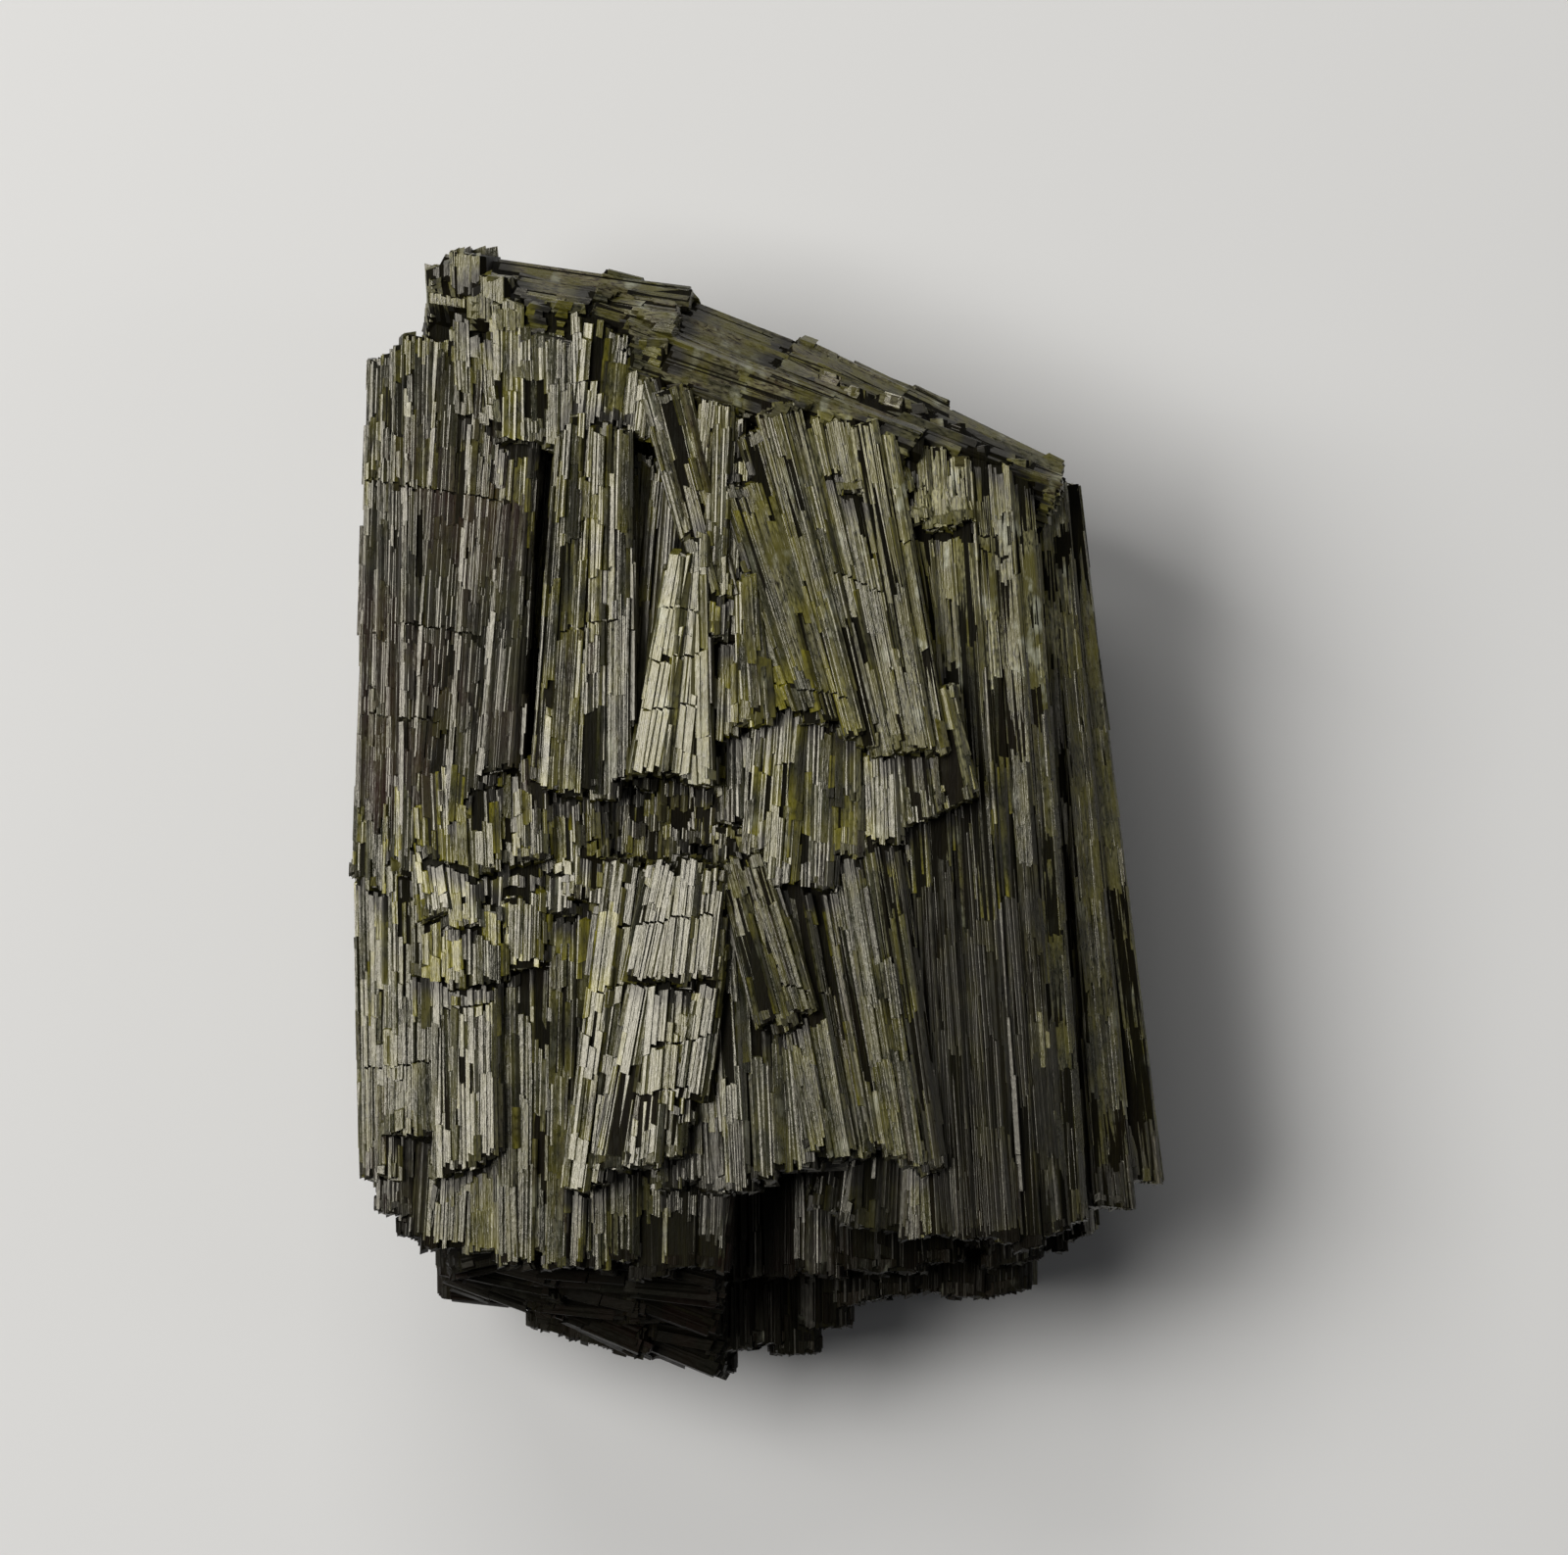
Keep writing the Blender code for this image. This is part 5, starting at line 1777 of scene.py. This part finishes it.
@dataclass(frozen=True)
class Lamp:
    """A soft rectangular light that faces the cluster.

    Args:
        name: Its name.
        place: Where its middle is, in metres.
        size: Its width and length.
        power: Its power, in watts.
        aim: The height over the ground that it faces.
    """

    name: str
    place: Triple
    size: Point
    power: float
    aim: float = 0.01

    def hang(self, colour: Triple) -> None:
        """Adds the light to the scene.

        Args:
            colour: Its colour.
        """
        data = bpy.data.lights.new(self.name, "AREA")
        data.shape = "RECTANGLE"
        data.size, data.size_y = self.size
        data.energy = self.power
        data.color = colour
        lamp = bpy.data.objects.new(self.name, data)
        lamp.visible_camera = False
        toward = Vector(self.place) - Vector((0.0, 0.0, self.aim))
        lamp.matrix_world = (Matrix.Translation(Vector(self.place))
                             @ toward.to_track_quat("Z", "Y").to_matrix().to_4x4())
        bpy.context.scene.collection.objects.link(lamp)


@dataclass(frozen=True)
class Studio:
    """The plain floor, the soft lights and the camera straight above.

    Args:
        floor_size: Side of the square floor, in metres.
        floor_colour: The floor's colour.
        floor_rough: The floor's roughness.
        floor_grain: The scale of the floor's faint clouds.
        floor_shade: How much darker the darkest cloud is, as a factor.
        light_colour: The colour of every light.
        lamps: The lights.
        sky_colour: The colour of the surroundings.
        sky_light: How bright the surroundings shine, and how bright they look to the camera.
        look_at: The point under the camera, in metres.
        height: The camera's height over the floor.
        lens: The camera's focal length, in millimetres.
        sensor: The width of its sensor.
        clip: The nearest and the farthest that it sees.
    """

    floor_size: float = 4.0
    floor_colour: Triple = (0.60, 0.61, 0.63)
    floor_rough: float = 0.7
    floor_grain: float = 60.0
    floor_shade: float = 0.985
    light_colour: Triple = (1.0, 0.97, 0.91)
    lamps: tuple[Lamp, ...] = (
        Lamp("key", (-0.46, 0.14, 0.62), (0.46, 0.50), 7.2),
        Lamp("upper", (-0.15, 0.60, 0.50), (0.45, 0.25), 2.1),
        Lamp("right strip", (0.60, 0.05, 0.42), (0.15, 0.50), 0.25),
        Lamp("overhead", (0.0, 0.0, 0.95), (0.90, 0.90), 0.08),
    )
    sky_colour: Triple = (0.9, 0.93, 1.0)
    sky_light: Point = (0.04, 0.75)
    look_at: Point = (0.00122, 0.00193)
    height: float = 0.521
    lens: float = 225.0
    sensor: float = 36.0
    clip: Point = (0.01, 20.0)

    def build(self) -> None:
        """Builds the whole studio."""
        self._floor()
        self._world()
        self._camera()
        for lamp in self.lamps:
            lamp.hang(self.light_colour)

    def _floor(self) -> None:
        """Lays the pale floor."""
        work = bmesh.new()
        bmesh.ops.create_grid(work, x_segments=1, y_segments=1, size=0.5 * self.floor_size)
        mesh = bpy.data.meshes.new("floor")
        work.to_mesh(mesh)
        work.free()
        material = bpy.data.materials.new("pale floor")
        material.use_nodes = True
        tree = material.node_tree
        shader = tree.nodes["Principled BSDF"]
        shader.inputs["Roughness"].default_value = self.floor_rough
        noise = tree.nodes.new("ShaderNodeTexNoise")
        noise.inputs["Scale"].default_value = self.floor_grain
        coords = tree.nodes.new("ShaderNodeTexCoord")
        ramp = tree.nodes.new("ShaderNodeValToRGB")
        low, high = ramp.color_ramp.elements
        low.color = (*(self.floor_shade * c for c in self.floor_colour), 1.0)
        high.color = (*self.floor_colour, 1.0)
        tree.links.new(coords.outputs["Object"], noise.inputs["Vector"])
        tree.links.new(noise.outputs["Fac"], ramp.inputs[0])
        tree.links.new(ramp.outputs[0], shader.inputs["Base Color"])
        mesh.materials.append(material)
        floor = bpy.data.objects.new("floor", mesh)
        bpy.context.scene.collection.objects.link(floor)

    def _world(self) -> None:
        """Makes dim surroundings that look pale to the camera."""
        world = bpy.data.worlds.new("studio")
        world.use_nodes = True
        tree = world.node_tree
        back = tree.nodes["Background"]
        back.inputs[0].default_value = (*self.sky_colour, 1.0)
        path = tree.nodes.new("ShaderNodeLightPath")
        strength = tree.nodes.new("ShaderNodeMapRange")
        dim, pale = self.sky_light
        strength.inputs["To Min"].default_value = dim
        strength.inputs["To Max"].default_value = pale
        tree.links.new(path.outputs["Is Camera Ray"], strength.inputs["Value"])
        tree.links.new(strength.outputs[0], back.inputs[1])
        bpy.context.scene.world = world

    def _camera(self) -> None:
        """Hangs the camera over the cluster, looking straight down."""
        data = bpy.data.cameras.new("camera")
        data.lens = self.lens
        data.sensor_width = self.sensor
        data.clip_start, data.clip_end = self.clip
        camera = bpy.data.objects.new("camera", data)
        camera.location = (*self.look_at, self.height)
        bpy.context.scene.collection.objects.link(camera)
        bpy.context.scene.camera = camera


@dataclass
class Cluster:
    """The crystals' fine surface, one piece for each part of the cluster.

    Args:
        rng: The source of chance.
        cutter: Makes the patterns.
        kinds: How many patterns there are of each kind.
        skin: The finish of the laths.
        painted_shade_heart: The finish of the solid under them: dark stone made near black as
            painted shade, so that the gaps between laths read as shadow.
        painted_shade_foot: The finish of the foot: a darker copy of the laths' finish that paints
            the shade the foot lies in.
    """

    rng: np.random.Generator
    cutter: PatternCutter = PatternCutter()
    kinds: tuple[tuple[Surface, int], ...] = (
        (Surface.RIBBED, 16), (Surface.SMOOTH, 6), (Surface.STUB, 8))
    skin: EpidoteFinish = EpidoteFinish()
    # The solid under the laths is dark stone painted near black, as shade in the gaps between laths
    painted_shade_heart: EpidoteFinish = EpidoteFinish(
        name="epidote heart painted shade", olive=(0.004, 0.004, 0.0015), moss=(0.008, 0.007, 0.002),
        gloss=0.5, matt=0.5, shine=0.04, on_laths=False)
    # The foot's finish is the laths' finish made darker, as painted shade
    painted_shade_foot: EpidoteFinish = EpidoteFinish(
        name="epidote foot painted shade", olive=(0.006, 0.004, 0.002), brown=(0.014, 0.003, 0.003),
        moss=(0.010, 0.006, 0.003), skin=(0.030, 0.020, 0.015), thin=(0.020, 0.012, 0.004),
        gloss=0.36, matt=0.45, shine=0.07)

    def build(self) -> list[bpy.types.Object]:
        """Builds and dresses every piece.

        Returns:
            The pieces.
        """
        groups = GroupMaker()
        striation, patches = groups.striation(), groups.patches()
        skin, painted_shade_heart, painted_shade_foot = (finish.make(striation, patches)
                               for finish in (self.skin, self.painted_shade_heart, self.painted_shade_foot))
        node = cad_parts[NODE]
        for slot in node.material_slots:
            slot.material = painted_shade_heart
        patterns, numbers = self._patterns()
        cladding = Cladding(numbers, SkySearch(self._solid(node)), self.rng)
        stores = {side: LathStore() for side in Side}
        for facet in FacetReader().read(node):
            cladding.clad(facet, stores[facet.side()])
        pieces = []
        for side, store in stores.items():
            finish = painted_shade_foot if side is Side.FOOT else skin
            piece = Bundle(f"{side.value}_laths", patterns, finish).build(store, self.rng)
            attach(piece, BODY)
            pieces.append(piece)
            LOG.info("%s: %d laths, %d triangles", piece.name, len(store.rows),
                     sum(len(p.vertices) - 2 for p in piece.data.polygons))
        return pieces

    @staticmethod
    def _solid(node: bpy.types.Object) -> BVHTree:
        """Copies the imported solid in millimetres, for the search for near crystals.

        Args:
            node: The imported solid.

        Returns:
            The copy, ready for the search.
        """
        work = bmesh.new()
        work.from_mesh(node.data)
        bmesh.ops.remove_doubles(work, verts=work.verts, dist=MERGE)
        bmesh.ops.scale(work, vec=(1.0 / MM,) * 3, verts=work.verts)
        tree = BVHTree.FromBMesh(work)
        work.free()
        return tree

    def _patterns(self) -> tuple[list[LathPattern], dict[Surface, list[int]]]:
        """Cuts the patterns.

        Returns:
            The patterns, and the numbers of those of each kind.
        """
        patterns, numbers = [], {}
        for surface, count in self.kinds:
            numbers[surface] = list(range(len(patterns), len(patterns) + count))
            patterns.extend(self.cutter.cut(surface, self.rng) for _ in range(count))
        return patterns, numbers


def main() -> None:
    """Builds the cluster's looks and the studio around it."""
    logging.basicConfig(level=logging.INFO, format="%(message)s")
    rng = np.random.default_rng(SEED)
    Cluster(rng).build()
    Studio().build()
    bpy.context.scene.view_settings.view_transform = "Standard"


if __name__ == "__main__":
    main()
